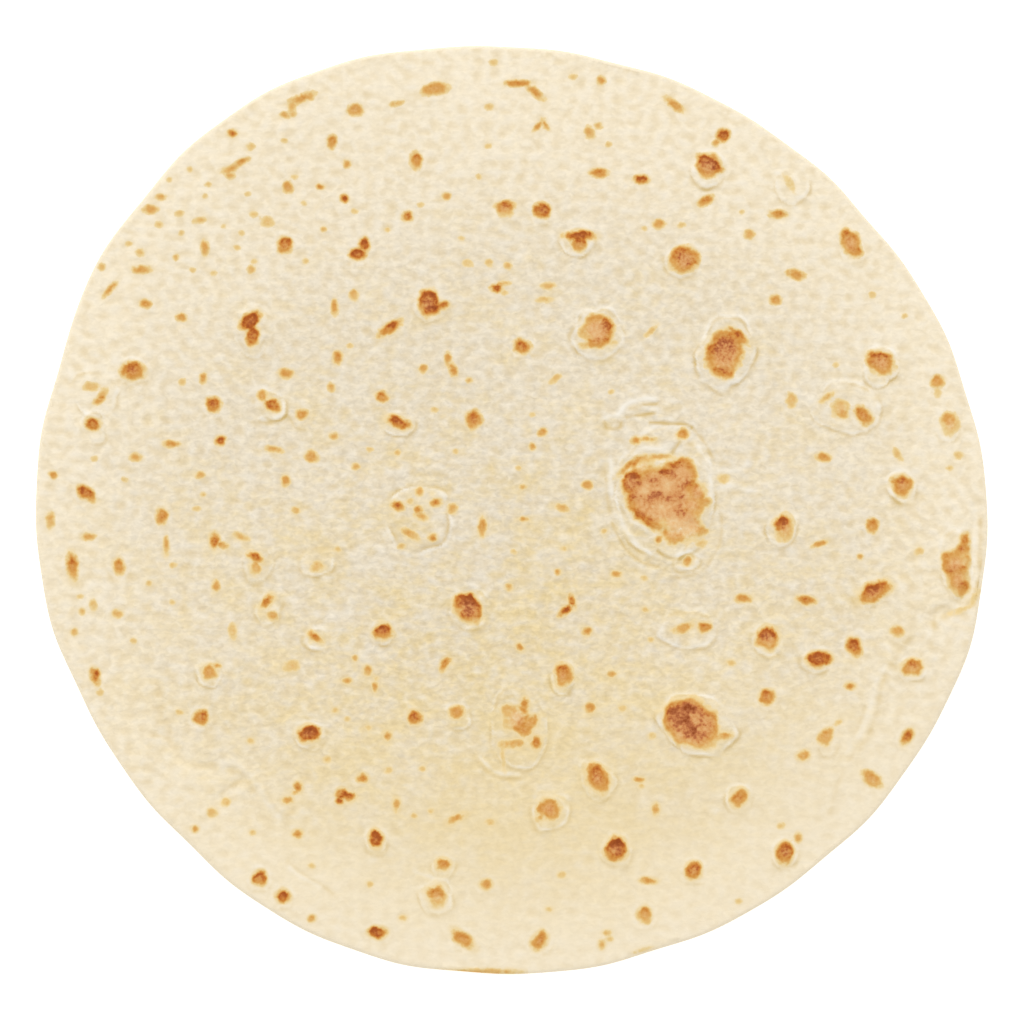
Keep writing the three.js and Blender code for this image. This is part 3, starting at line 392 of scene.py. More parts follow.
# Small faint flecks: place and size in mm.
FLECKS = [
    (-98, 87.4, 2.2), (-104, 84.2, 2), (-97.5, 81.8, 1.5), (-113, 78.5, 1.6), (-101, 97.6, 1.6),
    (-95, 100.5, 1.5), (-77, 107.3, 2.2), (-89.5, 96, 1.5), (-90.5, 92.6, 1.4), (-78, 93.3, 1.5),
    (-76, 87.3, 2), (-80, 81.8, 1.6), (-85, 83.8, 1.5), (-76, 73.5, 1.5), (-81, 77.5, 1.5),
    (-67, 109, 1.5), (-5.5, 132.2, 2.4), (-6.7, 119, 2),
    (-46.3, 88.2, 1.6), (-61.3, 90.6, 1.6), (-64, 98.4, 1.6), (-36.7, 82.8, 1.3), (-61, 73.6, 1.5),
    (-9.7, 98.5, 1.5), (-27, 90.2, 1.5), (-14.8, 80.2, 1.5), (-7, 107.5, 1.5), (18, 128, 2),
    (28.5, 108, 1.6), (39, 83.2, 1.6), (50, 84.1, 2), (68, 88, 1.5), (-97.3, 38, 2),
    (-123, 15.3, 1.8), (-114, 9.2, 1.6), (-91, 4.7, 1.6), (-93, 0.5, 1.6), (-94, 71, 1.5),
    (-88, 70, 1.5), (-2.2, 64, 1.5), (-47.6, 48.6, 1.6), (-42, 18, 1.6), (-22.8, 29.7, 1.8),
    (-16.5, 17.3, 1.5), (-30, 2.6, 1.8), (-32.5, -10.5, 2), (29.4, 35, 1.4), (6, 28.3, 1.4),
    (2, 12.5, 1.5), (106.4, 63.7, 1.8), (116, 57.5, 1.8), (129, 12.5, 1.6), (95.7, 43, 1.6),
    (-100, -16.2, 2), (-127.3, -25.3, 1.6), (-107, -21.5, 1.6), (-100, -27, 1.6), (-111.5, -38.5, 1.6),
    (-121.4, -53.7, 1.6), (-98, -59.5, 1.6), (-77, -68, 1.8), (-51.2, -11.5, 1.6), (-40, -49.5, 1.3),
    (-52, -59, 1.6), (-48.5, -61.5, 1.6), (-42.5, -64, 1.6), (15.4, -11.3, 1.8), (27.3, -6, 1.3),
    (0.8, -12.3, 1.6), (39, -20, 1.6), (39.5, -29.3, 2), (41, -38, 1.5), (56, -10, 2),
    (64.8, -45, 2.2), (32.7, -58.4, 2), (-1.5, -63, 2), (41.3, -66.5, 2), (-76.5, -95, 1.6),
    (-54.5, -73.5, 2), (-36.4, -76.8, 2), (-26.4, -76.3, 1.6), (-64, -83.3, 1.5), (-29, -90, 1.6),
    (-24, -88.8, 1.6), (-6.5, -92, 2.4), (-32, -120.3, 2), (-59, -104.8, 1.6), (-42, -110.3, 1.6),
    (8, -91, 2), (38.2, -81.3, 1.4), (14.6, -107.5, 2), (11, -117.7, 1.8), (29, -126.5, 1.5),
    (67, -115.3, 1.6), (79.5, -93, 1.8),
]

# A fleck's width as a share of its length, and its brownness.
FLECK_WIDTH = 0.8
FLECK_BROWNNESS = 0.36

# A spot's depth at its middle is its half width and this gain in mm. The crinkled skin bends its outline by
# this share of its width, up to a limit in mm, over creases about this far apart in mm. Its upper side is
# browner by the share of its lean.
SPOT_GAIN = 0.42
SPOT_BEND = 0.06
BEND_LIMIT = 0.4
CRINKLE_SIZE = 5.0
SPOT_LEAN = 0.12

# Outside a spot its brown fades out between these depths, and up to this margin it is worked out; in mm.
# Where no spot is near, the depth is the last of these.
BROWN_START = -0.4
BROWN_END = -1.9
SPOT_MARGIN = 5
FAR_FROM_TOAST = -10.0

# Round a spot lie a pale line of painted highlight, a little stronger on its upper side, and beyond it on
# the
# lower side a tan line of painted shadow: distances in mm, and strengths. Spots wider than the first width
# in mm have these lines, and from the second on in full.
SPOT_HIGHLIGHT_LINE = 1.0
SPOT_SHADOW_LINE = 1.9
SPOT_LINE_WIDTH = 0.5
SPOT_HIGHLIGHT_STRENGTH = 0.7
SPOT_SHADOW_STRENGTH = 0.5
LINED_FROM = 1.5
LINED_FULLY = 4.0

# Places inside toasted patches where the toast is thin: place, length and width in mm, turn in degrees, and
# the share lost.
THIN_TOAST = [
    (42, 13, 7.5, 3.2, 0, 0.24), (45.6, 7.6, 3, 3, 0, 0.32), (47.5, -3.8, 8, 3.4, -5, 0.42),
    (38.6, 12.4, 3.6, 2.6, 30, 0.28), (39.6, 6, 2.4, 3.4, 0, 0.35), (52, 3.6, 3, 1.6, 0, 0.3),
    (44.8, 0.8, 4, 1.4, 0, 0.3),
]

# That share is lost in full up to the first of these shares out from the middle, and fades to the second.
THIN_INSIDE = 0.5
THIN_OUTSIDE = 1.4

# How finely the surface is divided: steps in mm at spots and lines and over the underside (plain skin takes
# twice the fine step), points round the rim and steps down it, and how far out rows are laid, in mm.
FINE_STEP = 0.6
UNDERSIDE_STEP = 6.0
RIM_POINTS = 900
RIM_STEPS = 6
SQUARE_REACH = 0.52 * BREAD_WIDTH

# What takes the fine step: toast between these depths in mm, and lines of more than this strength.
FINE_OUTSIDE_SPOT = -1.0
FINE_INSIDE_SPOT = 1.6
FINE_LINES = 0.1

# The seed that every random draw starts from.
SEED = 7

# The dough's patterns, as sizes in mm: yellow patches, flour and how high it stands, the ragged edge of the
# toast, its dark cores and specks, and toasted patches on the underside.
PATCH_SIZE = 9.0
FLOUR_SIZE = 1.25
FLOUR_HEIGHT = 0.1
RAGGED_SIZE = 1.8
CORE_SIZE = 3.0
SPECK_SIZE = 1.0
UNDERSIDE_PATCH_SIZE = 11.0

# Colours in sRGB: those of the skin, and the white of the table and the surround.
CREAM_DOUGH = "#DED2BB"
YELLOW_DOUGH = "#E0CC9E"
PALE_DOUGH = "#ECDFC5"
# Painted highlight and painted shade: the near white laid on raised skin and lit lines, and the tan laid in
# folds and shaded lines.
PAINTED_HIGHLIGHT_SKIN = "#F2EDE2"
PAINTED_SHADE_SKIN = "#CDB278"
GOLDEN_SKIN = "#E3C990"
PINK_TOAST = "#E2B08C"
WHITE = "#FFFFFF"

# Colours of the toast by its tone, in sRGB.
DARKEST_TONE = 1.2
TOAST_COLOURS = [
    (0.05, "#E6D0A3"), (0.2, "#E1C78F"), (0.4, "#DBB675"), (0.6, "#D4A159"),
    (0.8, "#C98A3F"), (0.9, "#BE722D"), (1.0, "#A9571F"), (DARKEST_TONE, "#8C4218"),
]

# What makes a mix node mix colours, and the output that gives the mixed colour.
OF_COLOURS = {"data_type": "RGBA", "output": 2}

# What the values of a noise node mostly span.
NOISE_SPAN = {"From Min": 0.25, "From Max": 0.75}

# Where the top and the underside lie on the bread's own map, as middles and radii in map units.
TOP_MAP_MIDDLE = (0.442, 0.442)
TOP_MAP_RADIUS = 0.44
UNDERSIDE_MAP_MIDDLE = (0.86, 0.86)
UNDERSIDE_MAP_RADIUS = 0.138
RIM_MAP_SHARE = 0.03

# The camera looks straight down; the picture is as wide as this much of the table. All in mm.
VIEW_WIDTH = 302.1
VIEW_MIDDLE = (0.15, -0.59)
LENS = 120.0
SENSOR = 36.0
FARTHEST_SEEN = 20000.0

# The table's width in mm and its glow, the strength of the surround, and the lamp: its strength, and its
# width, tilt and turn in degrees.
FLOOR_WIDTH = 6000.0
FLOOR_GLOW = 0.35
SURROUND_STRENGTH = 0.85
LAMP_STRENGTH = 1.25
LAMP_WIDTH = 35
LAMP_TILT = 50
LAMP_TURN = 12


def linear(hex_colour):
    """An sRGB hex colour as linear red, green, blue and an alpha of 1."""
    srgb = np.array([int(hex_colour[i:i + 2], 16) for i in (1, 3, 5)]) / 255
    rgb = np.where(srgb <= 0.04045, srgb / 12.92, ((srgb + 0.055) / 1.055) ** 2.4)
    return (*rgb.tolist(), 1.0)


def hump(distance, spread):
    """A rounded hump: e to the minus square of distance over spread."""
    return np.exp(-(distance / spread) ** 2)


def smoothstep(value, low, high):
    """Rises from 0 at low to 1 at high along 3t squared minus 2t cubed."""
    t = np.clip((value - low) / (high - low), 0, 1)
    return t * t * (3 - 2 * t)


def grain(x, y, size, seed):
    """Even noise: forty plane waves of about one length, in seeded directions and phases, added up."""
    rng = np.random.default_rng(seed)
    waves = 40
    lengths = size * rng.uniform(0.75, 1.5, waves)
    headings = rng.uniform(0, 2 * np.pi, waves)
    phases = rng.uniform(0, 2 * np.pi, waves)
    total = np.zeros_like(x)
    for length, heading, phase in zip(lengths, headings, phases):
        total += np.sin(2 * np.pi * (x * np.cos(heading) + y * np.sin(heading)) / length + phase)
    return total / np.sqrt(waves / 2)


def crinkle(x, y, size, seed):
    """Angular noise, about -1 to 1: six triangle waves of about one length, in seeded directions and
    phases, added up."""
    rng = np.random.default_rng(seed)
    waves = 6
    lengths = size * rng.uniform(0.8, 1.6, waves)
    headings = rng.uniform(0, np.pi, waves)
    phases = rng.uniform(0, 1, waves)
    total = np.zeros_like(x)
    for length, heading, phase in zip(lengths, headings, phases):
        along = (x * np.cos(heading) + y * np.sin(heading)) / length + phase
        total += 4 * np.abs(along - np.floor(along) - 0.5) - 1
    return total / 2


def humps_round_rim(bearing, humps):
    """The sum of humps set at bearings round the rim, each by its angle from the point."""
    turn = np.degrees(bearing)
    total = np.zeros_like(turn)
    for place, spread, rise in humps:
        total += rise * hump((turn - place + 180) % 360 - 180, spread)
    return total


def rim_radius(bearing):
    """The outline: the mean radius, the rim's swells and two small waves along the edge."""
    wobble = sum(
        height * np.sin(count * bearing + np.radians(phase)) for count, height, phase in RIM_WOBBLES
    )
    return RIM_RADIUS + humps_round_rim(bearing, RIM_SWELLS) + wobble


def underside_height(x, y):
    """Flat on the table in the middle, curling up towards the rim at the rim's curls."""
    curl = smoothstep(np.hypot(x, y), CURL_START, RIM_RADIUS)
    return curl * humps_round_rim(np.arctan2(y, x), RIM_CURLS)


def dough_thickness(x, y):
    """The rolled thickness with three slow waves, thinning over the last stretch to the rim."""
    waves = np.zeros_like(x)
    for length, heading, height, phase in DOUGH_WAVES:
        along = x * np.cos(np.radians(heading)) + y * np.sin(np.radians(heading))
        waves += height * np.sin(2 * np.pi * along / length + np.radians(phase))
    to_rim = rim_radius(np.arctan2(y, x)) - np.hypot(x, y)
    return DOUGH_THICKNESS + waves - RIM_THINNING * (1 - smoothstep(to_rim, 0, RIM_THINNING_WIDTH))


def share_out(x, y, place, half_sizes, turn):
    """Distance from an ellipse's middle, as a share of its half length along it and half width across it."""
    cosine = np.cos(np.radians(turn))
    sine = np.sin(np.radians(turn))
    along = (x - place[0]) * cosine + (y - place[1]) * sine
    across = (y - place[1]) * cosine - (x - place[0]) * sine
    return np.hypot(along / half_sizes[0], across / half_sizes[1])


def blister_relief(x, y):
    """Each blister is a plateau that slopes down about its edge, plus a hump along the brow of the slope.
    The edge wanders with noise of two sizes. A pale and a tan line lie side by side along it, as t times a
    hump of t: painted highlight and painted shade, the pale one inside but for the upper side, as on a ridge
    lit from the upper side; they are a little clearer below, and come and go with noise. Returns the height
    in mm, how far each point is on the painted highlight line (above 0) or the painted shade line (below 0),
    and how far within a small blister it is, 0 to 1."""
    height = np.zeros_like(x)
    painted_light_shade = np.zeros_like(x)
    within = np.zeros_like(x)
    wander = sum(reach * grain(x, y, size, SEED + step) for reach, size, step in EDGE_WANDERS)
    fading = np.clip(0.85 + 0.4 * grain(x, y, FADING_SIZE, SEED + 3), 0.1, 1.4)
    for bx, by, half_length, half_width, turn, rise, clearness in BLISTERS:
        share = share_out(x, y, (bx, by), (half_length, half_width), turn)
        beyond = (share - 1) * (half_length + half_width) / 2 + wander
        upward = (y - by) / (np.hypot(x - bx, y - by) + 0.1)
        strength = clearness * (0.85 - 0.1 * upward) * fading
        brow = BROW_HEIGHT * strength * hump(beyond + BROW_INSIDE, BROW_HALF_WIDTH)
        height += rise * (1 - smoothstep(beyond, -SLOPE_INSIDE, SLOPE_BEYOND)) + brow
        across = (beyond + LINES_INSIDE) / LINE_WIDTH
        # The lines are painted highlight and painted shade: the pale one swaps to the outside on the upper
        # side, as on a ridge lit from there.
        painted_highlight_outside = 2 * smoothstep(upward, 0.1, 0.7) - 1
        painted_light_shade += LINE_PEAK * strength * painted_highlight_outside * across * hump(across, 1)
        small = 1 - smoothstep(half_width, SMALL_BLISTER, LARGE_BLISTER)
        within = np.maximum(within, small * (1 - smoothstep(beyond, -YELLOW_INSIDE, YELLOW_BEYOND)))
    return height, painted_light_shade, within


def smooth_path(path):
    """A smooth line through a path's points: eight places on each stretch of a cubic that passes through
    the points with slopes set by their neighbours."""
    points = np.array([path[0], *path, path[-1]], dtype=float)
    t = np.linspace(0, 1, 8, endpoint=False)[:, None]
    stretches = [
        b + t * (c - a) / 2 + t ** 2 * (2 * a - 5 * b + 4 * c - d) / 2 + t ** 3 * (3 * b - a - 3 * c + d) / 2
        for a, b, c, d in zip(points, points[1:], points[2:], points[3:])
    ]
    return np.vstack([*stretches, points[-1:]])


def along_line(x, y, path, half_width, shoulder=0.0):
    """A hump across the distance to a smooth line through a path, worked out only near the line,
    less a share of the hump as a shoulder on either side."""
    line = smooth_path(path)
    low = line.min(0) - LINE_MARGIN * half_width
    high = line.max(0) + LINE_MARGIN * half_width
    near = (x > low[0]) & (x < high[0]) & (y > low[1]) & (y < high[1])
    nearest = np.full(near.sum(), np.inf)
    for (ax, ay), (bx, by) in zip(line, line[1:]):
        length = np.hypot(bx - ax, by - ay)
        ux, uy = (bx - ax) / length, (by - ay) / length
        dx, dy = x[near] - ax, y[near] - ay
        along = np.clip(dx * ux + dy * uy, 0, length)
        nearest = np.minimum(nearest, np.hypot(dx - along * ux, dy - along * uy))
    ridge = np.zeros_like(x)
    beside = hump(nearest - SHOULDER_OUT * half_width, half_width)
    ridge[near] = hump(nearest, half_width) - shoulder * beside
    return ridge


def crease_depth(x, y):
    """The sum of the creases, each a hump of its depth along its path."""
    return sum(depth * along_line(x, y, path, half_width) for path, depth, half_width in CREASES)


def wrinkle_strength(x, y):
    """The sum of the fine wrinkles: ridges above 0, folds below 0, each with shoulders of the other kind."""
    return sum(
        strength * along_line(x, y, path, half_width, WRINKLE_SHOULDER)
        for path, strength, half_width in WRINKLES
    )


def roughness_left(x, y):
    """The share of the skin's roughness that is left: 1, and less towards the lower edge and the right."""
    return 1 - SMOOTHED_SHARE * smoothstep(SMOOTH_LEAN * x - y, SMOOTH_START, SMOOTH_END)


def floury_skin(x, y):
    """The skin's low relief, about -1 to 1, or less where it is smooth: thin curling ridges where one noise
    crosses zero, and a finer grain."""
    along = x / ROLLED_OUT
    rough = roughness_left(x, y)
    curls = 1 - 2 * np.minimum(np.abs(grain(along, y, CURL_SIZE, SEED)), 1)
    return rough * curls, rough * grain(along, y, GRAIN_SIZE, SEED + 1)


def slow_colour(x, y):
    """How pale, how yellow and how floury the dough is. It is pale away from the dull place, and more so
    past the start of the pale border. It is yellow in step with the distance below the start of the yellow,
    in a hump round one place and within small blisters. It is floury where it is rough and not pale."""
    dull = hump(np.hypot(x - DULL_MIDDLE[0], y - DULL_MIDDLE[1]), DULL_REACH)
    out = np.hypot(PALE_NARROWING * (x - PALE_MIDDLE[0]), y - PALE_MIDDLE[1])
    paleness = PALE_ALL_OVER * (1 - dull) + PALE_BORDER * smoothstep(out, PALE_START, PALE_END)
    yellowness = YELLOW_BELOW * np.clip((YELLOW_START - y) / YELLOW_REACH, 0, 1)
    yellowness += YELLOW_HUMP * hump(np.hypot(x - YELLOW_MIDDLE[0], y - YELLOW_MIDDLE[1]), YELLOW_SPREAD)
    yellowness += YELLOW_IN_BLISTERS * blister_relief(x, y)[2]
    flouriness = (FLOUR_AT_MOST - FLOUR_LOST_WHERE_PALE * paleness) * roughness_left(x, y)
    return paleness, yellowness, flouriness


def toast_field(x, y):
    """Depth inside the nearest toasted spot in mm, negative outside, and how brown it is there.
    A spot's depth is its half width and a little more, times 1 minus the share out, in a place bent by
    angular noise. Its brownness leans to the upper side and fades beyond it; where the toast is thin, a
    share of it is lost. Also returns the lines round the spots, a painted highlight (above 0) and a painted
    shadow on their lower side (below 0), clearest round wide spots and left out on toast."""
    flecks = [(fx, fy, size, FLECK_WIDTH * size, 0, FLECK_BROWNNESS) for fx, fy, size in FLECKS]
    depth = np.full_like(x, FAR_FROM_TOAST)
    brown = np.zeros_like(x)
    painted_highlight = np.zeros_like(x)
    painted_shadow = np.zeros_like(x)
    bend_x = crinkle(x, y, CRINKLE_SIZE, SEED + 5)
    bend_y = crinkle(x, y, CRINKLE_SIZE, SEED + 6)
    for sx, sy, length, width, turn, tone in SPOTS + flecks:
        reach = max(length, width) / 2 + SPOT_MARGIN
        near = np.flatnonzero((np.abs(x - sx) < reach) & (np.abs(y - sy) < reach))
        bend = min(SPOT_BEND * width, BEND_LIMIT)
        bent_x = x[near] + bend * bend_x[near]
        bent_y = y[near] + bend * bend_y[near]
        share = share_out(bent_x, bent_y, (sx, sy), (length / 2, width / 2), turn)
        inside = (1 - share) * (width / 2 + SPOT_GAIN)
        lean = 1 + SPOT_LEAN * np.clip((y[near] - sy) / (width / 2), -1, 1)
        depth[near] = np.maximum(depth[near], inside)
        brown[near] = np.maximum(brown[near], tone * lean * smoothstep(inside, BROWN_END, BROWN_START))
        reach_out = np.hypot(bent_x - sx, bent_y - sy)
        outside = reach_out * (1 - 1 / np.maximum(share, 0.01))
        upward = (bent_y - sy) / (reach_out + 0.1)
        clear = np.clip((width - LINED_FROM) / (LINED_FULLY - LINED_FROM), 0, 1) * tone
        # Painted highlight round the spot, a little stronger above, and painted shadow beyond it on the
        # lower side.
        pale = clear * (0.8 + 0.2 * upward) * hump(outside - SPOT_HIGHLIGHT_LINE, SPOT_LINE_WIDTH)
        tan = clear * np.clip(0.3 - 0.7 * upward, 0, 1) * hump(outside - SPOT_SHADOW_LINE, SPOT_LINE_WIDTH)
        painted_highlight[near] = np.maximum(painted_highlight[near], pale)
        painted_shadow[near] = np.maximum(painted_shadow[near], tan)
    for tx, ty, length, width, turn, lost in THIN_TOAST:
        share = share_out(x, y, (tx, ty), (length / 2, width / 2), turn)
        brown *= 1 - lost * (1 - smoothstep(share, THIN_INSIDE, THIN_OUTSIDE))
    lines = SPOT_HIGHLIGHT_STRENGTH * painted_highlight - SPOT_SHADOW_STRENGTH * painted_shadow
    return depth, brown, lines * smoothstep(-depth, 0.2, 0.9)


def polar(reach, bearing):
    """A place on the table from its distance out and its bearing: the distance times cosine and sine."""
    return reach * np.cos(bearing), reach * np.sin(bearing)


def room_to_rim(x, y):
    """Distance left from a point outwards to where the rim's rounding starts."""
    return rim_radius(np.arctan2(y, x)) - RIM_ROUNDING - np.hypot(x, y)


def lattice(step):
    """Points inside the rim in rows a step apart, every other row moved by half a step.
    Returns their places, and which of them also lie on the lattice of twice the step."""
    rise = step * np.sqrt(0.75)
    columns = int(SQUARE_REACH / step)
    rows = int(SQUARE_REACH / rise)
    column, row = np.meshgrid(np.arange(-columns, columns + 1), np.arange(-rows, rows + 1))
    column = column - row // 2
    x = step * (column + row / 2)
    y = rise * row
    kept = room_to_rim(x, y) > step
    return x[kept], y[kept], ((column % 2 == 0) & (row % 2 == 0))[kept]


def top_points():
    """Plain skin takes the lattice of twice the fine step; edges of spots and lines take all of it."""
    x, y, plain = lattice(FINE_STEP)
    depth, _, _ = toast_field(x, y)
    _, painted_light_shade, _ = blister_relief(x, y)
    lines = np.abs(painted_light_shade) + np.abs(wrinkle_strength(x, y))
    spot_edges = (depth > FINE_OUTSIDE_SPOT) & (depth < FINE_INSIDE_SPOT)
    kept = plain | (lines > FINE_LINES) | spot_edges
    return x[kept], y[kept]


def joined_in_triangles(x, y):
    """Triangles between points by the Delaunay rule; the rim's ring comes first among them, in order."""
    ring = np.arange(RIM_POINTS)
    edges = np.column_stack([ring, np.roll(ring, -1)])
    places = np.column_stack([x, y])
    inside_only = 1
    nearness = 1e-6
    joined = delaunay_2d_cdt(places.tolist(), edges.tolist(), [], inside_only, nearness, False)
    return np.array(joined[2])


def strip_triangles(upper, lower):
    """Two triangles between each pair of neighbours on two rings of equal count."""
    upper_next, lower_next = np.roll(upper, -1), np.roll(lower, -1)
    return np.concatenate([
        np.column_stack([upper, lower, upper_next]),
        np.column_stack([upper_next, lower, lower_next]),
    ])


def top_surface(x, y):
    """The top's height in mm: underside, dough, blisters, creases, wrinkles and low relief added up.
    Also returns how far each point is painted lighter (above 0) or darker (below 0): painted highlight on
    ridges and raised skin, painted shade in folds, and both along the blister lines."""
    blister, painted_light_shade, _ = blister_relief(x, y)
    wrinkles = wrinkle_strength(x, y)
    curls, fine = floury_skin(x, y)
    skin = (CURL_HEIGHT * curls + GRAIN_HEIGHT * fine) * smoothstep(room_to_rim(x, y), 0, SKIN_START)
    height = underside_height(x, y) + dough_thickness(x, y) + blister - crease_depth(x, y) + skin
    painted_lightness = painted_light_shade + wrinkles + CURL_PAINTED_LIGHT * curls + GRAIN_PAINTED_LIGHT * fine
    return height + WRINKLE_HEIGHT * wrinkles, painted_lightness


def bread_map(points, upper, lower, top_count):
    """Places on the bread's own map for each corner of the triangles: the top as a disc whose outer share
    holds the rim, and the underside as a smaller disc beside it, mirrored."""
    bearing = np.arctan2(points[:, 1], points[:, 0])
    share = np.hypot(points[:, 0], points[:, 1]) / (rim_radius(bearing) - RIM_ROUNDING)
    down_rim = np.repeat(np.arange(1, RIM_STEPS) / RIM_STEPS, RIM_POINTS)
    top_share = np.concatenate([
        (1 - RIM_MAP_SHARE) * share[:top_count],
        1 - RIM_MAP_SHARE * (1 - down_rim),
        np.ones(len(points) - top_count - len(down_rim)),
    ])
    outward = np.column_stack([np.cos(bearing), np.sin(bearing)])
    top_map = np.array(TOP_MAP_MIDDLE) + TOP_MAP_RADIUS * outward * top_share[:, None]
    under_map = np.array(UNDERSIDE_MAP_MIDDLE) + UNDERSIDE_MAP_RADIUS * outward * share[:, None] * (-1, 1)
    return np.concatenate([top_map[upper].reshape(-1, 2), under_map[lower].reshape(-1, 2)])


def bread_looks(points, painted_light_shade, under_start):
    """The values per point that the dough's colour is made from; the top's spots stay off the underside."""
    depth, brown, spot_highlight_and_shadow = toast_field(points[:, 0], points[:, 1])
    paleness, yellowness, flouriness = slow_colour(points[:, 0], points[:, 1])
    below = np.arange(len(points)) >= under_start
    no_crest = np.zeros(len(points) - len(painted_light_shade))
    return {
        "toast_depth": np.where(below, FAR_FROM_TOAST, depth),
        "toast_brown": np.where(below, 0, brown),
        "painted_light_shade": np.concatenate([painted_light_shade, no_crest]) + np.where(below, 0, spot_highlight_and_shadow),
        "paleness": paleness,
        "yellowness": yellowness,
        "flouriness": flouriness,
        "underside": below.astype(float),
    }


def bread_surface():
    """The bread's closed surface in mm: the top, half-ellipse rows down the rim, and the underside.
    Returns points, triangles, map places per triangle corner, and the looks' values per point."""
    ring_bearing = 2 * np.pi * np.arange(RIM_POINTS) / RIM_POINTS
    ring_x, ring_y = polar(rim_radius(ring_bearing) - RIM_ROUNDING, ring_bearing)
    inner_x, inner_y = top_points()
    x, y = np.concatenate([ring_x, inner_x]), np.concatenate([ring_y, inner_y])
    top, painted_light_shade = top_surface(x, y)

    low = underside_height(ring_x, ring_y)
    middle = (top[:RIM_POINTS] + low) / 2
    half = (top[:RIM_POINTS] - low) / 2
    angle = (np.pi / 2 - np.pi * np.arange(1, RIM_STEPS) / RIM_STEPS)[:, None]
    row_x, row_y = polar(rim_radius(ring_bearing) - RIM_ROUNDING * (1 - np.cos(angle)), ring_bearing)
    row_z = middle + half * np.sin(angle)

    inner_x, inner_y, _ = lattice(UNDERSIDE_STEP)
    under_x, under_y = np.concatenate([ring_x, inner_x]), np.concatenate([ring_y, inner_y])
    points = np.column_stack([
        np.concatenate([x, row_x.ravel(), under_x]),
        np.concatenate([y, row_y.ravel(), under_y]),
        np.concatenate([top, row_z.ravel(), underside_height(under_x, under_y)]),
    ])
    under_start = len(x) + row_x.size
    ring = np.arange(RIM_POINTS)
    rings = [ring, *(len(x) + np.arange(row_x.size).reshape(row_x.shape)), under_start + ring]
    upper = np.concatenate([
        joined_in_triangles(x, y),
        *[strip_triangles(a, b) for a, b in zip(rings, rings[1:])],
    ])
    lower = under_start + joined_in_triangles(under_x, under_y)[:, ::-1]
    corners = bread_map(points, upper, lower, len(x))
    return points, np.concatenate([upper, lower]), corners, bread_looks(points, painted_light_shade, under_start)


def make_bread():
    """Puts the bread's surface into a mesh, moved so that its box lies where the solid's box does."""
    points, triangles, corners, looks = bread_surface()
    low, high = (np.array(corner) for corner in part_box("piadina"))
    points = points * MM
    points[:, :2] += (low + high)[:2] / 2 - (points.min(0) + points.max(0))[:2] / 2
    mesh = bpy.data.meshes.new("griddled_bread")
    mesh.from_pydata(points.tolist(), [], triangles.tolist())
    corner_places = mesh.uv_layers.new(name="OFBake")
    corner_places.data.foreach_set("uv", corners.astype(np.float32).ravel())
    for name, values in looks.items():
        layer = mesh.attributes.new(name, "FLOAT", "POINT")
        layer.data.foreach_set("value", values.astype(np.float32))
    mesh.shade_smooth()
    mesh.materials.append(griddled_dough(list(looks)))
    bread = bpy.data.objects.new("griddled_bread", mesh)
    bpy.context.scene.collection.objects.link(bread)
    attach(bread, "root")
    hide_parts("piadina")


def add(tree, kind, inputs, output=0, **settings):
    """Adds a shader node with its settings and returns one of its outputs. An input that is a socket is
    linked, and any other is a value. A mix takes its share at 0, numbers at 2 and 3, and colours at 6 and 7.
    """
    node = tree.nodes.new(kind)
    for name, value in settings.items():
        setattr(node, name, value)
    for key, value in inputs.items():
        if isinstance(value, bpy.types.NodeSocket):
            tree.links.new(value, node.inputs[key])
        else:
            node.inputs[key].default_value = value
    return node.outputs[output]


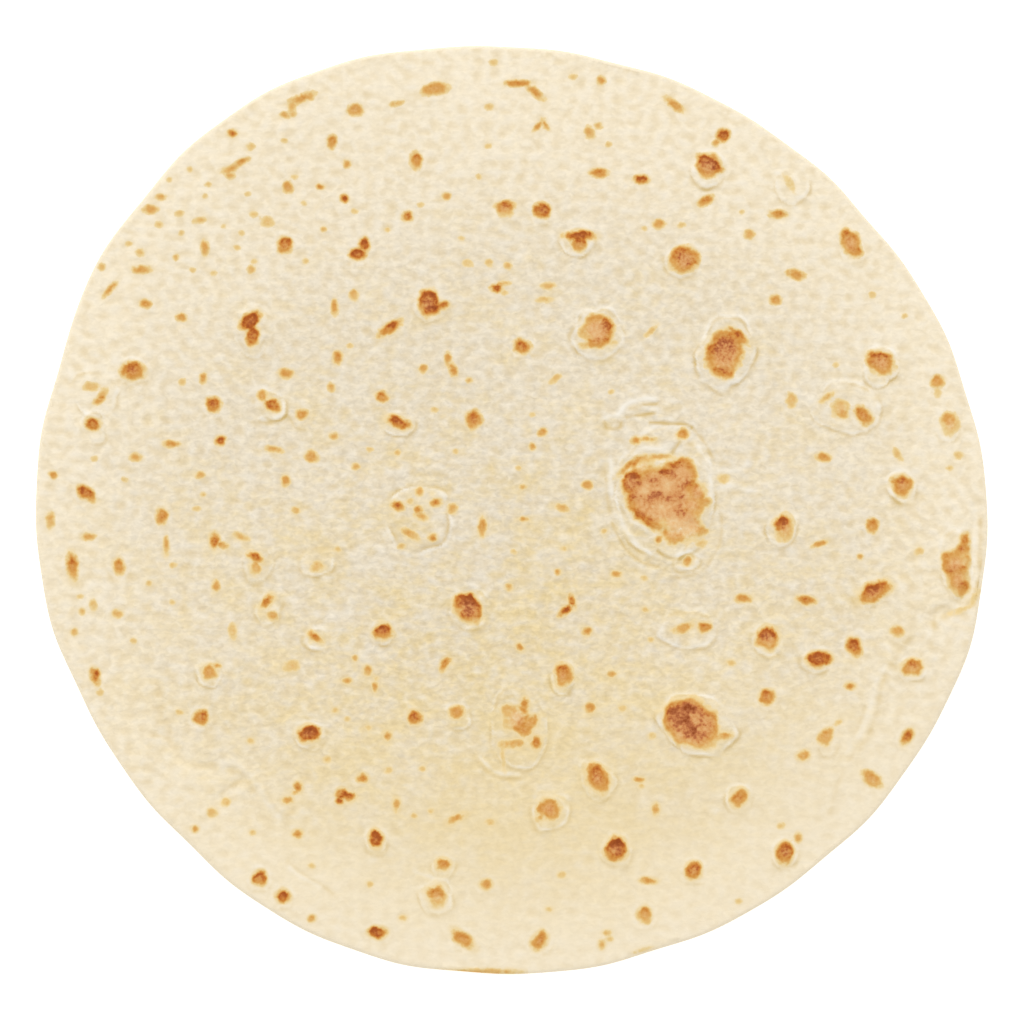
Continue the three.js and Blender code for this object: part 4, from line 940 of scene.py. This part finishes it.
def plain_dough(tree, place, look):
    """The untoasted skin: cream, yellower below and in patches drawn out along the rolling, with a fine
    flour mottle, paler to the rim, with a nearly white painted highlight where it is raised and a tan
    painted shade in folds. Returns its colour and the noise of the flour."""
    rolled = add(tree, "ShaderNodeMapping", {"Vector": place, "Scale": (1 / ROLLED_OUT, 1.0, 1.0)})
    patch = add(tree, "ShaderNodeTexNoise", {
        "Vector": rolled, "Scale": 1 / (PATCH_SIZE * MM), "Detail": 3.0, "Roughness": 0.8,
    })
    patch = add(tree, "ShaderNodeMapRange", {"Value": patch, **NOISE_SPAN, "To Min": -0.64, "To Max": 0.64})
    yellow = add(tree, "ShaderNodeMath", {0: patch, 1: look["flouriness"], 2: look["yellowness"]},
                 operation="MULTIPLY_ADD", use_clamp=True)
    dough = linear(CREAM_DOUGH)
    dough = add(tree, "ShaderNodeMix", {0: yellow, 6: dough, 7: linear(YELLOW_DOUGH)}, **OF_COLOURS)
    dough = add(tree, "ShaderNodeMix", {0: look["paleness"], 6: dough, 7: linear(PALE_DOUGH)}, **OF_COLOURS)
    flour = add(tree, "ShaderNodeTexNoise", {
        "Vector": rolled, "Scale": 1 / (FLOUR_SIZE * MM), "Detail": 3.0, "Roughness": 0.5, "Distortion": 0.5,
    })
    mottle = add(tree, "ShaderNodeMapRange", {"Value": flour, **NOISE_SPAN, "To Min": -0.1, "To Max": 0.1})
    mottle = add(tree, "ShaderNodeMath", {0: mottle, 1: look["flouriness"], 2: 1.0},
                 operation="MULTIPLY_ADD")
    dough = add(tree, "ShaderNodeVectorMath", {0: dough, "Scale": mottle}, operation="SCALE")
    # Painted highlight on raised skin and lit lines, and painted shade in folds and shaded lines.
    painted_lightness = add(tree, "ShaderNodeMapRange", {"Value": look["painted_light_shade"], "From Max": 1.2, "To Max": 0.7})
    dough = add(tree, "ShaderNodeMix", {0: painted_lightness, 6: dough, 7: linear(PAINTED_HIGHLIGHT_SKIN)}, **OF_COLOURS)
    painted_shade = add(tree, "ShaderNodeMapRange", {"Value": look["painted_light_shade"], "From Max": -1.6})
    dough = add(tree, "ShaderNodeMix", {0: painted_shade, 6: dough, 7: linear(PAINTED_SHADE_SKIN)}, **OF_COLOURS)
    return dough, flour


def toast_places(tree, place, look):
    """Depth and brownness of the toast: spots on the top, and larger patches of noise on the underside."""
    noise = add(tree, "ShaderNodeTexNoise", {
        "Vector": place, "Scale": 1 / (UNDERSIDE_PATCH_SIZE * MM), "Detail": 2.0,
    })
    patches = add(tree, "ShaderNodeMapRange", {
        "Value": noise, "From Min": 0.55, "From Max": 0.75, "To Min": -4.0, "To Max": 2.5,
    })
    depth = add(tree, "ShaderNodeMix", {0: look["underside"], 2: look["toast_depth"], 3: patches})
    brown = add(tree, "ShaderNodeMix", {0: look["underside"], 2: look["toast_brown"], 3: 0.8})
    return depth, brown


def toast_tone(tree, place, depth, brown):
    """How brown the toast looks: its brownness, rising in two steps over a ragged edge, mottled in cores
    and, where the spot is wide, in specks."""
    ragged = add(tree, "ShaderNodeTexNoise", {
        "Vector": place, "Scale": 1 / (RAGGED_SIZE * MM), "Detail": 3.0,
    })
    ragged = add(tree, "ShaderNodeMapRange", {
        "Value": ragged, **NOISE_SPAN, "To Min": -0.55, "To Max": 0.55,
    })
    rough_depth = add(tree, "ShaderNodeMath", {0: depth, 1: ragged}, operation="ADD")
    edge = add(tree, "ShaderNodeMapRange", {
        "Value": rough_depth, "From Min": -0.9, "From Max": 0.4, "To Max": 0.6,
    }, interpolation_type="SMOOTHSTEP")
    middle = add(tree, "ShaderNodeMapRange", {
        "Value": rough_depth, "From Min": -0.2, "From Max": 0.95, "To Max": 0.4,
    }, interpolation_type="SMOOTHSTEP")
    inside = add(tree, "ShaderNodeMath", {0: edge, 1: middle}, operation="ADD")
    tone = add(tree, "ShaderNodeMath", {0: inside, 1: brown}, operation="MULTIPLY")
    core = add(tree, "ShaderNodeTexNoise", {"Vector": place, "Scale": 1 / (CORE_SIZE * MM), "Detail": 1.0})
    core = add(tree, "ShaderNodeMapRange", {"Value": core, **NOISE_SPAN, "To Min": 0.9, "To Max": 1.1})
    tone = add(tree, "ShaderNodeMath", {0: tone, 1: core}, operation="MULTIPLY")
    speck = add(tree, "ShaderNodeTexNoise", {"Vector": place, "Scale": 1 / (SPECK_SIZE * MM), "Detail": 3.0})
    speck = add(tree, "ShaderNodeMapRange", {"Value": speck, **NOISE_SPAN, "To Min": -1.0, "To Max": 1.0})
    wide = add(tree, "ShaderNodeMapRange", {
        "Value": depth, "From Min": -0.5, "From Max": 2.4, "To Max": 0.24,
    })
    return add(tree, "ShaderNodeMath", {0: speck, 1: wide, 2: tone}, operation="MULTIPLY_ADD")


def golden_halo(tree, look, depth, brown, dough):
    """The dough turned golden close round a spot, the more so the browner the spot and the yellower the
    dough."""
    near = add(tree, "ShaderNodeMapRange", {"Value": depth, "From Min": -2.4, "From Max": -0.3},
               interpolation_type="SMOOTHSTEP")
    golden = add(tree, "ShaderNodeMapRange", {"Value": look["yellowness"], "To Min": 0.45})
    golden = add(tree, "ShaderNodeMath", {0: golden, 1: brown}, operation="MULTIPLY")
    halo = add(tree, "ShaderNodeMath", {0: near, 1: golden}, operation="MULTIPLY")
    return add(tree, "ShaderNodeMix", {0: halo, 6: dough, 7: linear(GOLDEN_SKIN)}, **OF_COLOURS)


def toast_colour(tree, tone, depth):
    """Pale gold to dark brown along the tone, and pinker where light toast lies deep inside a wide spot."""
    share = add(tree, "ShaderNodeMath", {0: tone, 1: DARKEST_TONE}, operation="DIVIDE")
    toast = add(tree, "ShaderNodeValToRGB", {"Fac": share})
    elements = toast.node.color_ramp.elements
    for k, (position, colour) in enumerate(TOAST_COLOURS):
        stop = elements[k] if k < 2 else elements.new(position / DARKEST_TONE)
        stop.position = position / DARKEST_TONE
        stop.color = linear(colour)
    pink = add(tree, "ShaderNodeMapRange", {
        "Value": depth, "From Min": 1.0, "From Max": 3.0, "To Max": 0.38,
    })
    light = add(tree, "ShaderNodeMapRange", {"Value": tone, "From Min": 1.25, "From Max": 0.6})
    pink = add(tree, "ShaderNodeMath", {0: pink, 1: light}, operation="MULTIPLY")
    return add(tree, "ShaderNodeMix", {0: pink, 6: toast, 7: linear(PINK_TOAST)}, **OF_COLOURS)


def griddled_dough(look_names):
    """Soft-wheat dough, rolled thin and baked on a dry griddle: a matt cream skin with a floury mottle, a
    painted highlight where it stands up and painted shade, tan, in its hollows, and toasted from gold to
    dark brown in spots."""
    material = bpy.data.materials.new("griddled wheat dough")
    material.use_nodes = True
    tree = material.node_tree
    place = add(tree, "ShaderNodeTexCoord", {}, output="Object")
    look = {
        name: add(tree, "ShaderNodeAttribute", {}, output="Fac", attribute_name=name) for name in look_names
    }
    dough, flour = plain_dough(tree, place, look)
    depth, brown = toast_places(tree, place, look)
    tone = toast_tone(tree, place, depth, brown)
    dough = golden_halo(tree, look, depth, brown, dough)
    cover = add(tree, "ShaderNodeMapRange", {"Value": tone, "From Max": 0.1},
                interpolation_type="SMOOTHSTEP")
    toast = toast_colour(tree, tone, depth)
    skin = add(tree, "ShaderNodeMix", {0: cover, 6: dough, 7: toast}, **OF_COLOURS)

    # Dry flour scatters light; toasted skin is a little smoother. The flour stands up by a few hundredths
    # of a mm.
    roughness = add(tree, "ShaderNodeMapRange", {"Value": tone, "To Min": 0.88, "To Max": 0.62})
    bump = add(tree, "ShaderNodeBump", {"Height": flour, "Strength": 1.0, "Distance": FLOUR_HEIGHT * MM})
    shader = tree.nodes["Principled BSDF"]
    tree.links.new(skin, shader.inputs["Base Color"])
    tree.links.new(roughness, shader.inputs["Roughness"])
    tree.links.new(bump, shader.inputs["Normal"])
    shader.inputs["Metallic"].default_value = 0.0
    shader.inputs["IOR"].default_value = 1.45
    shader.inputs["Specular IOR Level"].default_value = 0.12
    return material


def make_floor():
    """A plain white table top under the bread, lit a little from within so that it stays white in shade."""
    half = FLOOR_WIDTH / 2 * MM
    mesh = bpy.data.meshes.new("table_top")
    corners = [(-half, -half, 0), (half, -half, 0), (half, half, 0), (-half, half, 0)]
    mesh.from_pydata(corners, [], [(0, 1, 2, 3)])
    material = bpy.data.materials.new("matt white table")
    material.use_nodes = True
    shader = material.node_tree.nodes["Principled BSDF"]
    shader.inputs["Base Color"].default_value = linear(WHITE)
    shader.inputs["Roughness"].default_value = 1.0
    shader.inputs["Specular IOR Level"].default_value = 0.0
    shader.inputs["Emission Color"].default_value = linear(WHITE)
    shader.inputs["Emission Strength"].default_value = FLOOR_GLOW
    mesh.materials.append(material)
    floor = bpy.data.objects.new("table_top", mesh)
    bpy.context.scene.collection.objects.link(floor)


def light_studio():
    """An even white surround, and one wide soft lamp beyond the bread's far edge."""
    world = bpy.data.worlds.new("studio surround")
    world.use_nodes = True
    world.node_tree.nodes["Background"].inputs["Color"].default_value = linear(WHITE)
    world.node_tree.nodes["Background"].inputs["Strength"].default_value = SURROUND_STRENGTH
    bpy.context.scene.world = world
    lamp = bpy.data.lights.new("soft_lamp", "SUN")
    lamp.energy = LAMP_STRENGTH
    lamp.angle = np.radians(LAMP_WIDTH)
    soft_lamp = bpy.data.objects.new("soft_lamp", lamp)
    soft_lamp.rotation_euler = (np.radians(-LAMP_TILT), 0, np.radians(LAMP_TURN))
    bpy.context.scene.collection.objects.link(soft_lamp)
    bpy.context.scene.view_settings.view_transform = "Standard"


def place_camera():
    """Straight above the bread, far enough for the view's width at the height of the dough."""
    camera = bpy.data.cameras.new("camera")
    camera.lens = LENS
    camera.sensor_width = SENSOR
    camera.clip_end = FARTHEST_SEEN * MM
    above = bpy.data.objects.new("camera", camera)
    distance = VIEW_WIDTH * LENS / SENSOR + DOUGH_THICKNESS
    above.location = (VIEW_MIDDLE[0] * MM, VIEW_MIDDLE[1] * MM, distance * MM)
    bpy.context.scene.collection.objects.link(above)
    bpy.context.scene.camera = above


make_bread()
make_floor()
light_studio()
place_camera()
